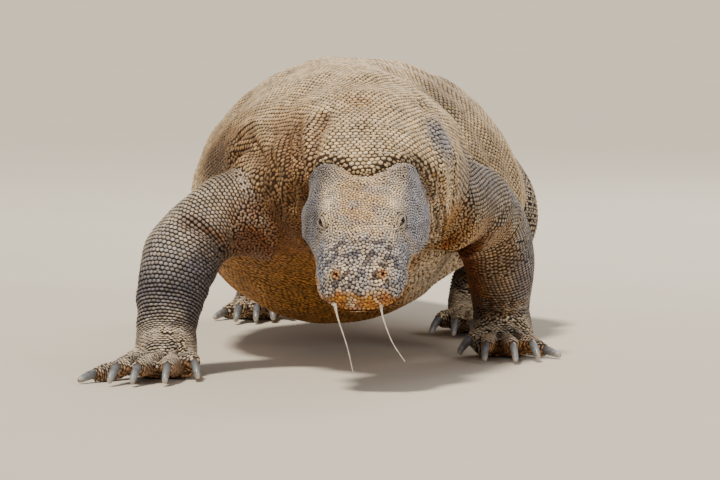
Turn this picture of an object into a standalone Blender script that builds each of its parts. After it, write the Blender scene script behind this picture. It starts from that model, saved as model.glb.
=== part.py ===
"""A Komodo dragon at life size, walking with its head lowered: a still model in named solid pieces.

Metres, +Z up. The animal faces -Y and its right side is at -X. The floor is at Z = 0, and the origin
is the middle of the whole animal's footprint box.

The body is one tube of superellipse sections, drawn from the back of the head to the tip of the
tail and parted into lengths. Each leg is a bent tube cut off where it meets that body, and ends
in a foot joined from a palm and five toes. Neighbours stay GAP apart.
"""

import math

import bmesh
import bpy
from mathutils import Matrix, Vector

GAP = 0.0003  # between neighbouring pieces
FLOOR = 0.0

# --- the body tube -------------------------------------------------------------------------------
# Each station: y, x, height of the widest level, rise above it, drop below it, half width,
# forward tilt of the section in degrees, squareness of the upper and of the lower half (2 is round).
BODY = (
    (-0.035, 0.007, 0.241, 0.045, 0.070, 0.060, 46.0, 2.4, 2.1),  # back of the head
    (0.005, 0.006, 0.240, 0.062, 0.088, 0.085, 34.0, 2.1, 2.1),
    (0.050, 0.004, 0.238, 0.080, 0.096, 0.102, 20.0, 2.0, 2.1),  # middle of the neck
    (0.100, 0.001, 0.236, 0.100, 0.099, 0.118, 8.0, 1.9, 2.1),
    (0.170, -0.004, 0.226, 0.128, 0.092, 0.138, 0.0, 1.9, 2.1),  # shoulders
    (0.260, -0.020, 0.205, 0.160, 0.104, 0.158, 0.0, 1.8, 2.1),
    (0.350, -0.032, 0.192, 0.176, 0.138, 0.170, 0.0, 1.8, 2.1),
    (0.440, -0.036, 0.190, 0.178, 0.162, 0.180, 0.0, 1.8, 2.0),  # lowest part of the belly
    (0.540, -0.010, 0.180, 0.187, 0.134, 0.200, 0.0, 1.8, 1.8),
    (0.640, 0.021, 0.165, 0.194, 0.090, 0.202, 0.0, 1.9, 1.7),
    (0.730, 0.034, 0.168, 0.181, 0.080, 0.162, 0.0, 1.9, 1.8),
    (0.820, 0.030, 0.176, 0.154, 0.074, 0.133, -2.0, 1.9, 2.1),  # hips
    (0.920, 0.012, 0.180, 0.122, 0.070, 0.101, -8.0, 1.9, 2.1),
    (1.050, -0.012, 0.168, 0.082, 0.066, 0.075, -15.0, 2.0, 2.1),  # root of the tail
    (1.180, -0.035, 0.128, 0.068, 0.067, 0.061, -17.0, 2.0, 2.1),
    (1.320, -0.056, 0.085, 0.060, 0.062, 0.051, -14.0, 1.9, 2.0),
    (1.460, -0.060, 0.055, 0.053, 0.056, 0.043, -8.0, 1.8, 2.0),
    (1.640, -0.035, 0.043, 0.044, 0.046, 0.034, -2.5, 1.7, 2.0),
    (1.840, 0.030, 0.034, 0.035, 0.037, 0.026, -2.0, 1.7, 2.0),
    (2.020, 0.085, 0.026, 0.026, 0.028, 0.018, -2.0, 1.8, 2.0),
    (2.170, 0.098, 0.018, 0.017, 0.020, 0.0115, -2.5, 2.0, 2.0),
    (2.300, 0.080, 0.0085, 0.008, 0.010, 0.005, -3.0, 2.0, 2.0),  # tip of the tail
)
# Each length of the body: name, y where it ends, number of steps along it, sides, material.
BODY_LENGTHS = (
    ("neck", 0.115, 5, 26, "neck_skin"),
    ("chest", 0.330, 6, 26, "back_skin"),
    ("belly", 0.660, 7, 26, "back_skin"),
    ("hips", 0.970, 7, 26, "back_skin"),
    ("tail_base", 1.300, 6, 20, "tail_skin"),
    ("tail_middle", 1.720, 8, 18, "tail_skin"),
    ("tail_end", 2.060, 7, 14, "tail_skin"),
    ("tail_tip", 2.300, 6, 12, "tail_skin"),
)
# Muscle and fat that stand out from the tube: centre, radius, height.
BODY_SWELLINGS = (
    ((-0.115, 0.205, 0.300), 0.075, 0.014),  # right shoulder blade
    ((0.112, 0.235, 0.300), 0.075, 0.012),  # left shoulder blade
    ((0.000, 0.190, 0.360), 0.080, 0.006),  # withers
    ((-0.165, 0.300, 0.200), 0.090, 0.010),  # ribs behind the right arm
    ((0.080, 0.850, 0.280), 0.070, 0.006),  # left hip bone
    ((-0.030, 0.850, 0.280), 0.070, 0.006),  # right hip bone
    ((0.065, 0.060, 0.175), 0.050, 0.012),  # left throat sac
    ((-0.058, 0.060, 0.175), 0.050, 0.012),  # right throat sac
)

# --- the head ------------------------------------------------------------------------------------
HEAD_TILT, HEAD_YAW, HEAD_ROLL = 46.0, 3.0, 1.6  # degrees: nose down, nose to the right, right side down
HEAD_LENGTH = 0.190  # from the back of the skull to the tip of the snout
HEAD_SIDES = 26
# Along the head: distance forward, top, widest level, underside, half width, squareness above and
# below, share by which the top is narrower than the widest level.
HEAD = (
    (0.000, 0.045, 0.000, -0.070, 0.0600, 2.4, 2.1, 0.00),
    (0.025, 0.047, -0.006, -0.063, 0.0695, 2.7, 2.2, 0.16),
    (0.050, 0.047, -0.010, -0.056, 0.0750, 3.0, 2.2, 0.30),  # jowls
    (0.070, 0.046, -0.010, -0.049, 0.0715, 3.1, 2.2, 0.34),
    (0.090, 0.044, -0.008, -0.043, 0.0635, 3.2, 2.2, 0.30),  # eyes
    (0.110, 0.038, -0.008, -0.038, 0.0570, 3.0, 2.3, 0.22),
    (0.130, 0.034, -0.008, -0.034, 0.0550, 2.8, 2.3, 0.18),
    (0.150, 0.032, -0.007, -0.031, 0.0545, 2.8, 2.3, 0.16),
    (0.164, 0.031, -0.006, -0.029, 0.0500, 2.7, 2.3, 0.14),  # nostrils
    (0.176, 0.027, -0.005, -0.026, 0.0425, 2.6, 2.3, 0.10),
    (0.184, 0.021, -0.004, -0.022, 0.0330, 2.4, 2.2, 0.05),
    (0.188, 0.014, -0.004, -0.017, 0.0240, 2.2, 2.2, 0.00),
    (0.190, 0.005, -0.004, -0.011, 0.0120, 2.0, 2.0, 0.00),
)
HEAD_STEPS = 16
# Each swelling on both sides of the head: distance forward, half spread, height up, radius, height.
HEAD_SWELLINGS = (
    (0.083, 0.044, 0.044, 0.018, 0.0050),  # brow ridge
    (0.062, 0.046, 0.042, 0.018, 0.0030),  # rear end of the brow
    (0.168, 0.028, 0.028, 0.012, 0.0035),  # nostril rim
    (0.012, 0.046, 0.036, 0.022, 0.0040),  # temple
)
EYE = (0.0875, 0.0412, 0.0235)  # centre of the ball: distance forward, half spread, height up
EYE_RADIUS = 0.0105
# The mouth line, from the tip of the snout back to its corner and up to the jaw joint.
MOUTH = ((0.200, -0.0090), (0.150, -0.0125), (0.110, -0.0160), (0.080, -0.0200), (0.052, -0.0185))
JAW_BACK = (0.030, -0.0800)  # where the jaw ends, under its joint
MOUTH_GAP = 0.0004

# --- the legs ------------------------------------------------------------------------------------
# Each leg: side (+1 left), root in the body, elbow or knee, wrist or ankle.
LEGS = {
    "arm_right": (-1, (-0.095, 0.170, 0.186), (-0.193, 0.136, 0.168), (-0.231, 0.078, 0.052)),
    "arm_left": (1, (0.090, 0.190, 0.196), (0.155, 0.292, 0.176), (0.177, 0.362, 0.055)),
    "leg_right": (-1, (-0.030, 0.870, 0.205), (-0.160, 0.866, 0.172), (-0.136, 0.956, 0.080)),
    "leg_left": (1, (0.070, 0.840, 0.205), (0.184, 0.722, 0.166), (0.146, 0.742, 0.056)),
}
LEG_STEPS, LEG_SIDES = 13, 14
CROOK = 0.8  # on the inner side, a leg is no deeper than this share of its bend's radius
# Along a leg: share of its length, half width across the bend, half depth in the plane of the bend.
ARM_GIRTH = (
    (0.00, 0.064, 0.062),
    (0.25, 0.054, 0.052),
    (0.50, 0.047, 0.046),  # elbow
    (0.68, 0.048, 0.049),  # belly of the forearm
    (0.85, 0.042, 0.043),
    (1.00, 0.037, 0.036),
)
HIND_GIRTH = (
    (0.00, 0.076, 0.072),
    (0.25, 0.064, 0.062),
    (0.50, 0.050, 0.050),  # knee
    (0.68, 0.045, 0.044),
    (0.85, 0.035, 0.036),
    (1.00, 0.029, 0.030),
)
# How a leg is shared out: the piece nearer the body, the piece beyond the joint, the foot.
LEG_PIECES = {"arm": ("upper_arm", "forearm", "hand"), "leg": ("thigh", "shank", "foot")}
LEG_CUTTERS = {"arm": ("neck", "chest", "belly"), "leg": ("belly", "hips", "tail_base")}

# --- the feet ------------------------------------------------------------------------------------
# Each toe, from the inner one: start (across towards the inner side, forward), tip of the claw the same
# way, and how high it arches over the floor (1 is fully).
TOES = {
    "arm_right": (
        ((0.026, 0.020), (0.040, 0.078), 1.0),
        ((0.013, 0.034), (0.003, 0.134), 1.0),
        ((-0.002, 0.038), (-0.035, 0.142), 1.0),
        ((-0.016, 0.034), (-0.062, 0.136), 1.0),
        ((-0.027, 0.020), (-0.096, 0.098), 0.5),
    ),
    "arm_left": (
        ((0.026, 0.014), (0.055, 0.046), 1.0),
        ((0.013, 0.034), (0.025, 0.130), 1.0),
        ((-0.001, 0.038), (-0.013, 0.142), 1.0),
        ((-0.015, 0.034), (-0.042, 0.112), 1.0),
        ((-0.026, 0.018), (-0.067, 0.062), 0.5),
    ),
    "leg_right": (
        ((0.018, 0.052), (0.046, 0.096), 1.0),
        ((0.009, 0.062), (0.020, 0.132), 1.0),
        ((-0.001, 0.066), (-0.003, 0.152), 1.0),
        ((-0.010, 0.062), (-0.030, 0.158), 1.0),
        ((-0.019, 0.030), (-0.058, 0.090), 0.5),
    ),
    "leg_left": (
        ((0.018, 0.060), (0.054, 0.124), 1.0),
        ((0.009, 0.070), (0.026, 0.160), 1.0),
        ((-0.001, 0.074), (0.000, 0.182), 1.0),
        ((-0.010, 0.070), (-0.034, 0.186), 1.0),
        ((-0.019, 0.036), (-0.070, 0.100), 0.5),
    ),
}
LOW_TOE_LIFT = 0.020  # how much higher an outer toe starts, since it grows from the side of the wrist
PALM_FRONT = {"arm": 0.046, "leg": 0.078}  # from the wrist or ankle to the knuckles
PALM_HALF_WIDTH = {"arm": 0.038, "leg": 0.032}
PALM_DEPTH = 0.030  # at the knuckles
HEEL_PULL = -0.018  # how low the underside is drawn below the back of the wrist
SOLE = -0.003  # the underside before the floor trims it flat
TOE_DROP = 1.6  # how much deeper a toe is below its middle line than it is wide beside it
PALM_STEPS, PALM_SIDES = 4, 14
TOE_RADII = (0.0125, 0.0112, 0.0104, 0.0104, 0.0086)  # from the knuckle to the root of the claw
TOE_HEIGHTS = (0.0175, 0.0220, 0.0225, 0.0228, 0.0205)  # of the toe's middle line
TOE_SIDES = 6
CLAW_LENGTH = 0.030
CLAW_SIDES, CLAW_STEPS = 6, 4
CLAW_HALF_WIDTH, CLAW_HALF_DEPTH, CLAW_TIP = 0.0046, 0.0060, 0.0013
CLAW_DROOP = (22.0, 72.0)  # degrees below the horizon, at the root and at the tip
FLATTER = 1.5  # a low toe's claw is flatter by this power of the toe's arch
CLAW_SETBACK = 0.021  # how much of a toe's whole length, seen from above, its claw takes

# Base colour (linear), roughness.
FINISHES = {
    "head_skin": ((0.34, 0.28, 0.21), 0.75),
    "jaw_skin": ((0.30, 0.19, 0.09), 0.70),
    "neck_skin": ((0.36, 0.28, 0.19), 0.80),
    "back_skin": ((0.35, 0.28, 0.20), 0.80),
    "tail_skin": ((0.27, 0.22, 0.16), 0.80),
    "leg_skin": ((0.24, 0.20, 0.16), 0.80),
    "eye": ((0.03, 0.02, 0.012), 0.15),
    "claw": ((0.33, 0.34, 0.36), 0.45),
}


# --- shared tools --------------------------------------------------------------------------------
def clear_scene():
    for obj in list(bpy.data.objects):
        bpy.data.objects.remove(obj)


def new_collection(name):
    collection = bpy.data.collections.new(name)
    bpy.context.scene.collection.children.link(collection)
    return collection


def finish(name):
    """The material of that name, made once."""
    if name in bpy.data.materials:
        return bpy.data.materials[name]
    colour, roughness = FINISHES[name]
    material = bpy.data.materials.new(name)
    material.use_nodes = True
    shader = material.node_tree.nodes["Principled BSDF"]
    shader.inputs["Base Color"].default_value = (*colour, 1.0)
    shader.inputs["Roughness"].default_value = roughness
    return material


def along(table, key):
    """The other columns of a table at this value of its first, on a smooth curve through its rows."""
    last = len(table) - 2
    i = next((n for n in range(last) if key < table[n + 1][0]), last)
    before, after = table[max(i - 1, 0)], table[min(i + 2, last + 1)]
    start, end = table[i], table[i + 1]
    step = end[0] - start[0]
    t = (key - start[0]) / step
    values = []
    for a, b, c, d in zip(before[1:], start[1:], end[1:], after[1:]):
        slope_in = (c - a) / (end[0] - before[0]) * step
        slope_out = (d - b) / (after[0] - start[0]) * step
        values.append(
            b * (1 + 2 * t) * (1 - t) ** 2
            + slope_in * t * (1 - t) ** 2
            + c * t * t * (3 - 2 * t)
            + slope_out * t * t * (t - 1)
        )
    return values


def superellipse(sides, half_width, rise, drop, power_up, power_down, narrowing=0.0):
    """(across, up) points round one section, whose widest level is at zero; its top is narrowed."""
    points = []
    for i in range(sides):
        angle = 2 * math.pi * (i + 0.5) / sides
        c, s = math.cos(angle), math.sin(angle)
        height, power = (rise, power_up) if s > 0 else (drop, power_down)
        share = math.copysign(abs(s) ** (2 / power), s)
        across = half_width * math.copysign(abs(c) ** (2 / power), c)
        points.append((across * (1 - narrowing * max(share, 0)), height * share))
    return points


def placed(section, centre, across, up, grow=0.0):
    """A flat section set in space, each point moved out from the centre by grow."""
    ring = []
    for a, b in section:
        offset = across * a + up * b
        ring.append(centre + offset * (1 + grow / max(offset.length, GAP)))
    return ring


def swollen(ring, centre, swellings):
    """The ring with its points pushed away from centre where a swelling lies over them."""
    out = []
    for point in ring:
        push = sum(
            height * math.exp(-((point - Vector(at)).length / radius) ** 2 * 2)
            for at, radius, height in swellings
        )
        out.append(point + (point - centre).normalized() * push)
    return out


def aligned(ring, previous):
    """The same ring, started and turned so that its points face those of the ring before it."""
    choices = [order[i:] + order[:i] for order in (ring, ring[::-1]) for i in range(len(ring))]
    return min(choices, key=lambda c: sum((a - b).length for a, b in zip(c, previous)))


def on_floor(rings):
    """The rings with whatever hangs below the floor pressed flat onto it."""
    return [[Vector((p.x, p.y, max(p.z, FLOOR))) for p in ring] for ring in rings]


def loft(name, rings, material, collection):
    """A closed solid of triangles through rings of equally many points, flat at both ends."""
    mesh = bmesh.new()
    loops = [[mesh.verts.new(point) for point in ring] for ring in rings]
    for loop, following in zip(loops, loops[1:]):
        for i in range(len(loop)):
            j = (i + 1) % len(loop)
            mesh.faces.new((loop[i], loop[j], following[j]))
            mesh.faces.new((loop[i], following[j], following[i]))
    mesh.faces.new(loops[0])
    mesh.faces.new(loops[-1])
    bmesh.ops.recalc_face_normals(mesh, faces=mesh.faces)
    data = bpy.data.meshes.new(name)
    mesh.to_mesh(data)
    mesh.free()
    data.shade_smooth()
    obj = bpy.data.objects.new(name, data)
    obj.data.materials.append(finish(material))
    collection.objects.link(obj)
    return obj


def hidden(obj):
    """A cutter or a shape to be joined: a helper, not a piece of the animal."""
    obj.hide_render = True
    obj.display_type = "WIRE"
    return obj


def boolean(obj, operation, other):
    modifier = obj.modifiers.new(f"{operation.lower()}_{other.name}", "BOOLEAN")
    modifier.operation = operation
    modifier.object = other
    modifier.solver = "EXACT"


# --- the body ------------------------------------------------------------------------------------
def body_ring(y, sides, grow=0.0):
    x, middle, rise, drop, half_width, tilt, power_up, power_down = along(BODY, y)
    ahead, behind = max(y - 0.01, BODY[0][0]), min(y + 0.01, BODY[-1][0])
    yaw = math.atan2(along(BODY, behind)[0] - along(BODY, ahead)[0], behind - ahead)
    turn = Matrix.Rotation(-yaw, 3, "Z")
    across = turn @ Vector((1, 0, 0))
    tilt = math.radians(tilt)
    up = turn @ Vector((0, -math.sin(tilt), math.cos(tilt)))
    centre = Vector((x, y, middle))
    section = superellipse(sides, half_width, rise, drop, power_up, power_down)
    ring = swollen(placed(section, centre, across, up), centre, BODY_SWELLINGS)
    return [point + (point - centre).normalized() * grow for point in ring]


def body_rings(start, end, steps, sides, margin, grow=0.0):
    """Rings from start to end, each end drawn in by margin. The first of all meets the head."""
    stops = [start + margin, *(start + (end - start) * i / steps for i in range(1, steps)), end - margin]
    rings = [body_ring(y, sides, grow) for y in stops]
    if start == BODY[0][0]:
        rings[0] = aligned(head_ring(-GAP, head_placement(), sides), rings[1])
    return on_floor(rings)


def make_body(parts, cutters):
    """Neck, trunk and tail, and a slightly larger copy of each for cutting the legs to fit."""
    start, fitted = BODY[0][0], {}
    for name, end, steps, sides, material in BODY_LENGTHS:
        loft(name, body_rings(start, end, steps, sides, GAP / 2), material, parts)
        larger = body_rings(start, end, steps, sides, -GAP / 2, grow=GAP)
        fitted[name] = hidden(loft("fit_" + name, larger, material, cutters))
        start = end
    return fitted


# --- the head ------------------------------------------------------------------------------------
def head_placement():
    """Matrix from head axes (x across to its right, y forward, z up) to the animal's."""
    y, x, middle = BODY[0][:3]
    forward = Matrix.Rotation(math.pi, 4, "Z") @ Matrix.Rotation(math.radians(-HEAD_TILT), 4, "X")
    yaw = Matrix.Rotation(math.radians(-HEAD_YAW), 4, "Z")
    roll = Matrix.Rotation(math.radians(HEAD_ROLL), 4, "Y")
    return Matrix.Translation((x, y, middle)) @ yaw @ forward @ roll


def head_ring(forward, placement, sides=HEAD_SIDES):
    top, level, bottom, half_width, power_up, power_down, narrowing = along(HEAD, forward)
    rise, drop = top - level, level - bottom
    section = superellipse(sides, half_width, rise, drop, power_up, power_down, narrowing)
    centre = Vector((0, forward, level))
    ring = placed(section, centre, Vector((1, 0, 0)), Vector((0, 0, 1)))
    both = [
        ((side * spread, at, up), radius, height)
        for at, spread, up, radius, height in HEAD_SWELLINGS
        for side in (-1, 1)
    ]
    return [placement @ point for point in swollen(ring, centre, both)]


def jaw_zone(name, grow, placement, cutters):
    """The space below the mouth line, as a slab across the whole head."""
    outline = [(y, z + grow) for y, z in MOUTH]
    outline += [(JAW_BACK[0] - grow, JAW_BACK[1]), (HEAD_LENGTH + 0.02, JAW_BACK[1])]
    half = 0.1
    sides = [[placement @ Vector((x, y, z)) for y, z in outline] for x in (-half, half)]
    return hidden(loft(name, sides, "jaw_skin", cutters))


def eye_ball(name, side, radius, placement, collection):
    mesh = bmesh.new()
    bmesh.ops.create_uvsphere(mesh, u_segments=10, v_segments=7, radius=radius)
    forward, spread, up = EYE
    bmesh.ops.transform(mesh, matrix=Matrix.Rotation(math.pi / 2, 4, "Y"), verts=mesh.verts)
    bmesh.ops.transform(mesh, matrix=Matrix.Translation((side * spread, forward, up)), verts=mesh.verts)
    bmesh.ops.transform(mesh, matrix=placement, verts=mesh.verts)
    data = bpy.data.meshes.new(name)
    mesh.to_mesh(data)
    mesh.free()
    data.shade_smooth()
    obj = bpy.data.objects.new(name, data)
    obj.data.materials.append(finish("eye"))
    collection.objects.link(obj)
    return obj


def make_head(parts, cutters):
    placement = head_placement()
    reach = HEAD_LENGTH - GAP
    # Steps crowd together towards the snout, where the head rounds off.
    stops = [GAP + reach * math.sin(math.pi / 2 * i / HEAD_STEPS) ** 0.9 for i in range(HEAD_STEPS)] + [HEAD_LENGTH]
    rings = [head_ring(stop, placement) for stop in stops]
    head = loft("head", rings, "head_skin", parts)
    boolean(head, "DIFFERENCE", jaw_zone("above_mouth", 0.0, placement, cutters))
    jaw = loft("lower_jaw", rings, "jaw_skin", parts)
    boolean(jaw, "INTERSECT", jaw_zone("below_mouth", -MOUTH_GAP, placement, cutters))
    for side, word in ((1, "right"), (-1, "left")):
        eye_ball("eye_" + word, side, EYE_RADIUS, placement, parts)
        socket = eye_ball("socket_" + word, side, EYE_RADIUS + GAP, placement, cutters)
        boolean(head, "DIFFERENCE", hidden(socket))


# --- the legs ------------------------------------------------------------------------------------
def curve(start, pull, end, t):
    """Point, direction and radius of the bend on the parabola from start to end, drawn towards pull."""
    point = start * (1 - t) ** 2 + pull * 2 * t * (1 - t) + end * t * t
    slope = 2 * ((pull - start) * (1 - t) + (end - pull) * t)
    turning = slope.cross(2 * (start - 2 * pull + end))
    return point, slope.normalized(), slope.length**3 / max(turning.length, GAP**2)


def leg_curve(root, bend, end, t):
    """The parabola that passes the elbow or knee half way."""
    return curve(root, 2 * bend - (root + end) / 2, end, t)


def leg_ring(joints, girth, t):
    root, bend, end = joints
    centre, direction, bend_radius = leg_curve(root, bend, end, t)
    hinge = (bend - root).cross(end - bend).normalized()
    across = (hinge - direction * hinge.dot(direction)).normalized()
    half_width, half_depth = along(girth, t)
    inner_depth = min(half_depth, CROOK * bend_radius)
    section = superellipse(LEG_SIDES, half_width, half_depth, inner_depth, 2, 2)
    return placed(section, centre, across, direction.cross(across))


def make_leg(name, fitted, parts):
    kind, side = name.split("_")
    _, *joints = LEGS[name]
    joints = [Vector(joint) for joint in joints]
    girth = ARM_GIRTH if kind == "arm" else HIND_GIRTH
    near, far, _ = LEG_PIECES[kind]
    middle = LEG_STEPS // 2 + 1
    gap_share = GAP / (joints[2] - joints[0]).length
    upper = [i / LEG_STEPS for i in range(middle)] + [middle / LEG_STEPS - gap_share]
    lower = [i / LEG_STEPS for i in range(middle, LEG_STEPS + 1)]
    thick = loft(f"{near}_{side}", [leg_ring(joints, girth, t) for t in upper], "leg_skin", parts)
    thin = loft(f"{far}_{side}", [leg_ring(joints, girth, t) for t in lower], "leg_skin", parts)
    for cutter in LEG_CUTTERS[kind]:
        boolean(thick, "DIFFERENCE", fitted[cutter])
        boolean(thin, "DIFFERENCE", fitted[cutter])


# --- the feet ------------------------------------------------------------------------------------
def foot_axes(name):
    """The foot's origin on the floor under the wrist, its inward axis and its forward axis."""
    side, *joints = LEGS[name]
    wrist = Vector(joints[-1])
    return Vector((wrist.x, wrist.y, FLOOR)), Vector((-side, 0, 0)), Vector((0, -1, 0))


def palm_rings(name):
    """From the wrist's own section, fanning out under its front and flattening to the knuckles."""
    kind = name.split("_")[0]
    _, *joints = LEGS[name]
    joints = [Vector(joint) for joint in joints]
    wrist, down, _ = leg_curve(*joints, 1.0)
    girth = ARM_GIRTH if kind == "arm" else HIND_GIRTH
    rings = [[point + down * GAP for point in leg_ring(joints, girth, 1.0)]]
    front = min(rings[0], key=lambda point: point.y)
    back = max(rings[0], key=lambda point: point.y)
    ground, inward, ahead = foot_axes(name)
    sole = ground + ahead * PALM_FRONT[kind]
    upper = Vector((wrist.x, front.y, front.z)), sole + Vector((0, 0, PALM_DEPTH))
    heel = Vector((wrist.x, back.y, HEEL_PULL))
    under = Vector((wrist.x, back.y, back.z)), heel, sole + Vector((0, 0, SOLE))
    for i in range(1, PALM_STEPS + 1):
        t = i / PALM_STEPS
        top = upper[0].lerp(upper[1], t)
        bottom, _, _ = curve(*under, t)
        spread = min(1, 1.5 * t) if i < PALM_STEPS else 0.8
        half_width = girth[-1][1] + (PALM_HALF_WIDTH[kind] - girth[-1][1]) * spread
        half_depth = (top - bottom).length / 2
        section = superellipse(PALM_SIDES, half_width, half_depth, half_depth, 2.2, 2.2)
        ring = placed(section, (top + bottom) / 2, inward, (top - bottom).normalized())
        rings.append(aligned(ring, rings[-1]))
    return rings


def toe_rings(start, end, arch):
    """A toe arching over the floor from its knuckle to the root of its claw."""
    ahead = (end - start).normalized()
    across = Vector((-ahead.y, ahead.x, 0))
    count = len(TOE_RADII) - 1
    rings = []
    for i, (radius, height) in enumerate(zip(TOE_RADII, TOE_HEIGHTS)):
        share = i / count
        height *= 1 - (1 - arch) * min(2 * share, 1)
        height += LOW_TOE_LIFT * (1 - arch) * (1 - share) ** 1.5
        centre = start + (end - start) * share + Vector((0, 0, height))
        droop = math.radians(CLAW_DROOP[0] * share) * arch**FLATTER
        up = Vector((0, 0, math.cos(droop))) + ahead * math.sin(droop)
        section = superellipse(TOE_SIDES, radius, radius * 1.05, radius * TOE_DROP, 2, 2)
        rings.append(placed(section, centre, across, up))
    return rings


def claw_rings(root, ahead, arch):
    """A claw curving down from its root until its tip is just over the floor."""
    across = Vector((-ahead.y, ahead.x, 0))
    point, rings = root.copy(), []
    for i in range(CLAW_STEPS + 1):
        share = i / CLAW_STEPS
        droop = math.radians(CLAW_DROOP[0] + (CLAW_DROOP[1] - CLAW_DROOP[0]) * share) * arch**FLATTER
        direction = ahead * math.cos(droop) - Vector((0, 0, math.sin(droop)))
        up = ahead * math.sin(droop) + Vector((0, 0, math.cos(droop)))
        taper = (1 - share) ** 0.75
        half_width = CLAW_TIP + (CLAW_HALF_WIDTH - CLAW_TIP) * taper
        half_depth = CLAW_TIP + (CLAW_HALF_DEPTH - CLAW_TIP) * taper
        rings.append(placed(superellipse(CLAW_SIDES, half_width, half_depth, half_depth, 2, 2), point, across, up))
        point += direction * CLAW_LENGTH / CLAW_STEPS
    return rings


def below_floor(cutters):
    """A slab under the floor, which trims the soles flat."""
    depth, size = 0.1, 4.0
    mesh = bmesh.new()
    bmesh.ops.create_cube(mesh, size=1.0)
    bmesh.ops.scale(mesh, vec=(size, size, depth), verts=mesh.verts)
    bmesh.ops.translate(mesh, vec=(0, 1, FLOOR - depth / 2), verts=mesh.verts)
    data = bpy.data.meshes.new("below_floor")
    mesh.to_mesh(data)
    mesh.free()
    slab = bpy.data.objects.new("below_floor", data)
    cutters.objects.link(slab)
    return hidden(slab)


def make_foot(name, slab, parts, cutters):
    kind, side = name.split("_")
    foot_name = f"{LEG_PIECES[kind][2]}_{side}"
    foot = loft(foot_name, palm_rings(name), "leg_skin", parts)
    ground, inward, ahead = foot_axes(name)
    for number, (start, tip, arch) in enumerate(TOES[name], 1):
        base = ground + inward * start[0] + ahead * start[1]
        claw_tip = ground + inward * tip[0] + ahead * tip[1]
        forward = (claw_tip - base).normalized()
        end = claw_tip - forward * CLAW_SETBACK
        rings = toe_rings(base, end, arch)
        boolean(foot, "UNION", hidden(loft(f"toe_{foot_name}_{number}", rings, "leg_skin", cutters)))
        droop = math.radians(CLAW_DROOP[0]) * arch**FLATTER
        clear = (forward * math.cos(droop) - Vector((0, 0, math.sin(droop)))) * GAP
        root = end + Vector((0, 0, TOE_HEIGHTS[-1] * arch)) + clear
        loft(f"claw_{foot_name}_{number}", claw_rings(root, forward, arch), "claw", parts)
    boolean(foot, "DIFFERENCE", slab)


def centre_on_origin(parts):
    """Moves every piece so that the animal's box stands with the middle of its base at the origin."""
    bpy.context.view_layer.update()
    graph = bpy.context.evaluated_depsgraph_get()
    corners = [
        obj.matrix_world @ Vector(corner) for obj in parts.objects for corner in obj.evaluated_get(graph).bound_box
    ]
    middle_x = (min(c.x for c in corners) + max(c.x for c in corners)) / 2
    middle_y = (min(c.y for c in corners) + max(c.y for c in corners)) / 2
    for obj in bpy.data.objects:
        obj.location -= Vector((middle_x, middle_y, 0))


def main():
    clear_scene()
    parts, cutters = new_collection("komodo_dragon"), new_collection("cutters")
    make_head(parts, cutters)
    fitted = make_body(parts, cutters)
    slab = below_floor(cutters)
    for name in LEGS:
        make_leg(name, fitted, parts)
        make_foot(name, slab, parts, cutters)
    centre_on_origin(parts)


main()
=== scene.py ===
import math

import bmesh
import bpy
import numpy as np
from mathutils import Matrix, Vector
from mathutils.bvhtree import BVHTree
from mathutils.kdtree import KDTree


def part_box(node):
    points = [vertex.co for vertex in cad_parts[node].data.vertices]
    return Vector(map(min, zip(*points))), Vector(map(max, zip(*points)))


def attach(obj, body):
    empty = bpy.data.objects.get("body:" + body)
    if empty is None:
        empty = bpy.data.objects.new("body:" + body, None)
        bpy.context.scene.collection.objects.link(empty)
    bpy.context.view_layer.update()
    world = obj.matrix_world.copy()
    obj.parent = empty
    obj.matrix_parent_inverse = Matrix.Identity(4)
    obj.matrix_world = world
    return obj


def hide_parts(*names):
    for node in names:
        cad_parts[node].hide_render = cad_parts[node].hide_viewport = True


# %% [markdown]
# # A komodo dragon for a museum hall
# The biggest living lizard walks towards us with its head low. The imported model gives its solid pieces
# at their real size. This lesson dresses them: one skin over all the flesh, tens of thousands of raised
# scales set in rows, eyelids and eyes, horny claws, and a soft studio light. Everything is in metres.

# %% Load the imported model
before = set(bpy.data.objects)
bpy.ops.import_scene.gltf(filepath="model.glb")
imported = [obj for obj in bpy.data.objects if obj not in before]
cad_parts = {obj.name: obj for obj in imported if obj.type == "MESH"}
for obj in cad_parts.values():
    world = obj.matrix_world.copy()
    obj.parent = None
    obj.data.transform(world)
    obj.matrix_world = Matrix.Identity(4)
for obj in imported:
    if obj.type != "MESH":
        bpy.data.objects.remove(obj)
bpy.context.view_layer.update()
scene = bpy.context.scene
rng = np.random.default_rng(7)
print("solid pieces:", len(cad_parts))

# %% [markdown]
# ## The animal's own axes
# The sizes below are measured from a point on the floor under the back of the skull, with the tail
# along +Y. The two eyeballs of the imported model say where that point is, because the middle between
# them is known in the head's axes: x to the animal's right, y towards the snout, z out of the forehead.

# %% Find the head
HEAD_TILT, HEAD_YAW, HEAD_ROLL = 46.0, 3.0, 1.6  # degrees
EYE_SEAT = Vector((0.0412, 0.0875, 0.0235))  # half spread, distance forward, height
SKULL_BACK = Vector((0.007, -0.035, 0.241))  # in the animal's axes


def box_middle(node):
    low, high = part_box(node)
    return (low + high) / 2


HEAD_AXES = (Matrix.Rotation(math.radians(-HEAD_YAW), 3, "Z") @ Matrix.Rotation(math.pi, 3, "Z")
             @ Matrix.Rotation(math.radians(-HEAD_TILT), 3, "X")
             @ Matrix.Rotation(math.radians(HEAD_ROLL), 3, "Y"))
EYES = {"right": box_middle("eye_right"), "left": box_middle("eye_left")}
HEAD_START = (EYES["right"] + EYES["left"]) / 2 - HEAD_AXES @ Vector((0, EYE_SEAT.y, EYE_SEAT.z))
SHIFT = HEAD_START - SKULL_BACK
print("skull back at", [round(c, 4) for c in HEAD_START], "shift", [round(c, 4) for c in SHIFT])


def in_head(points):
    """World points, as an array, in the head's axes."""
    return (points - np.array(HEAD_START)) @ np.array(HEAD_AXES)


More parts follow.
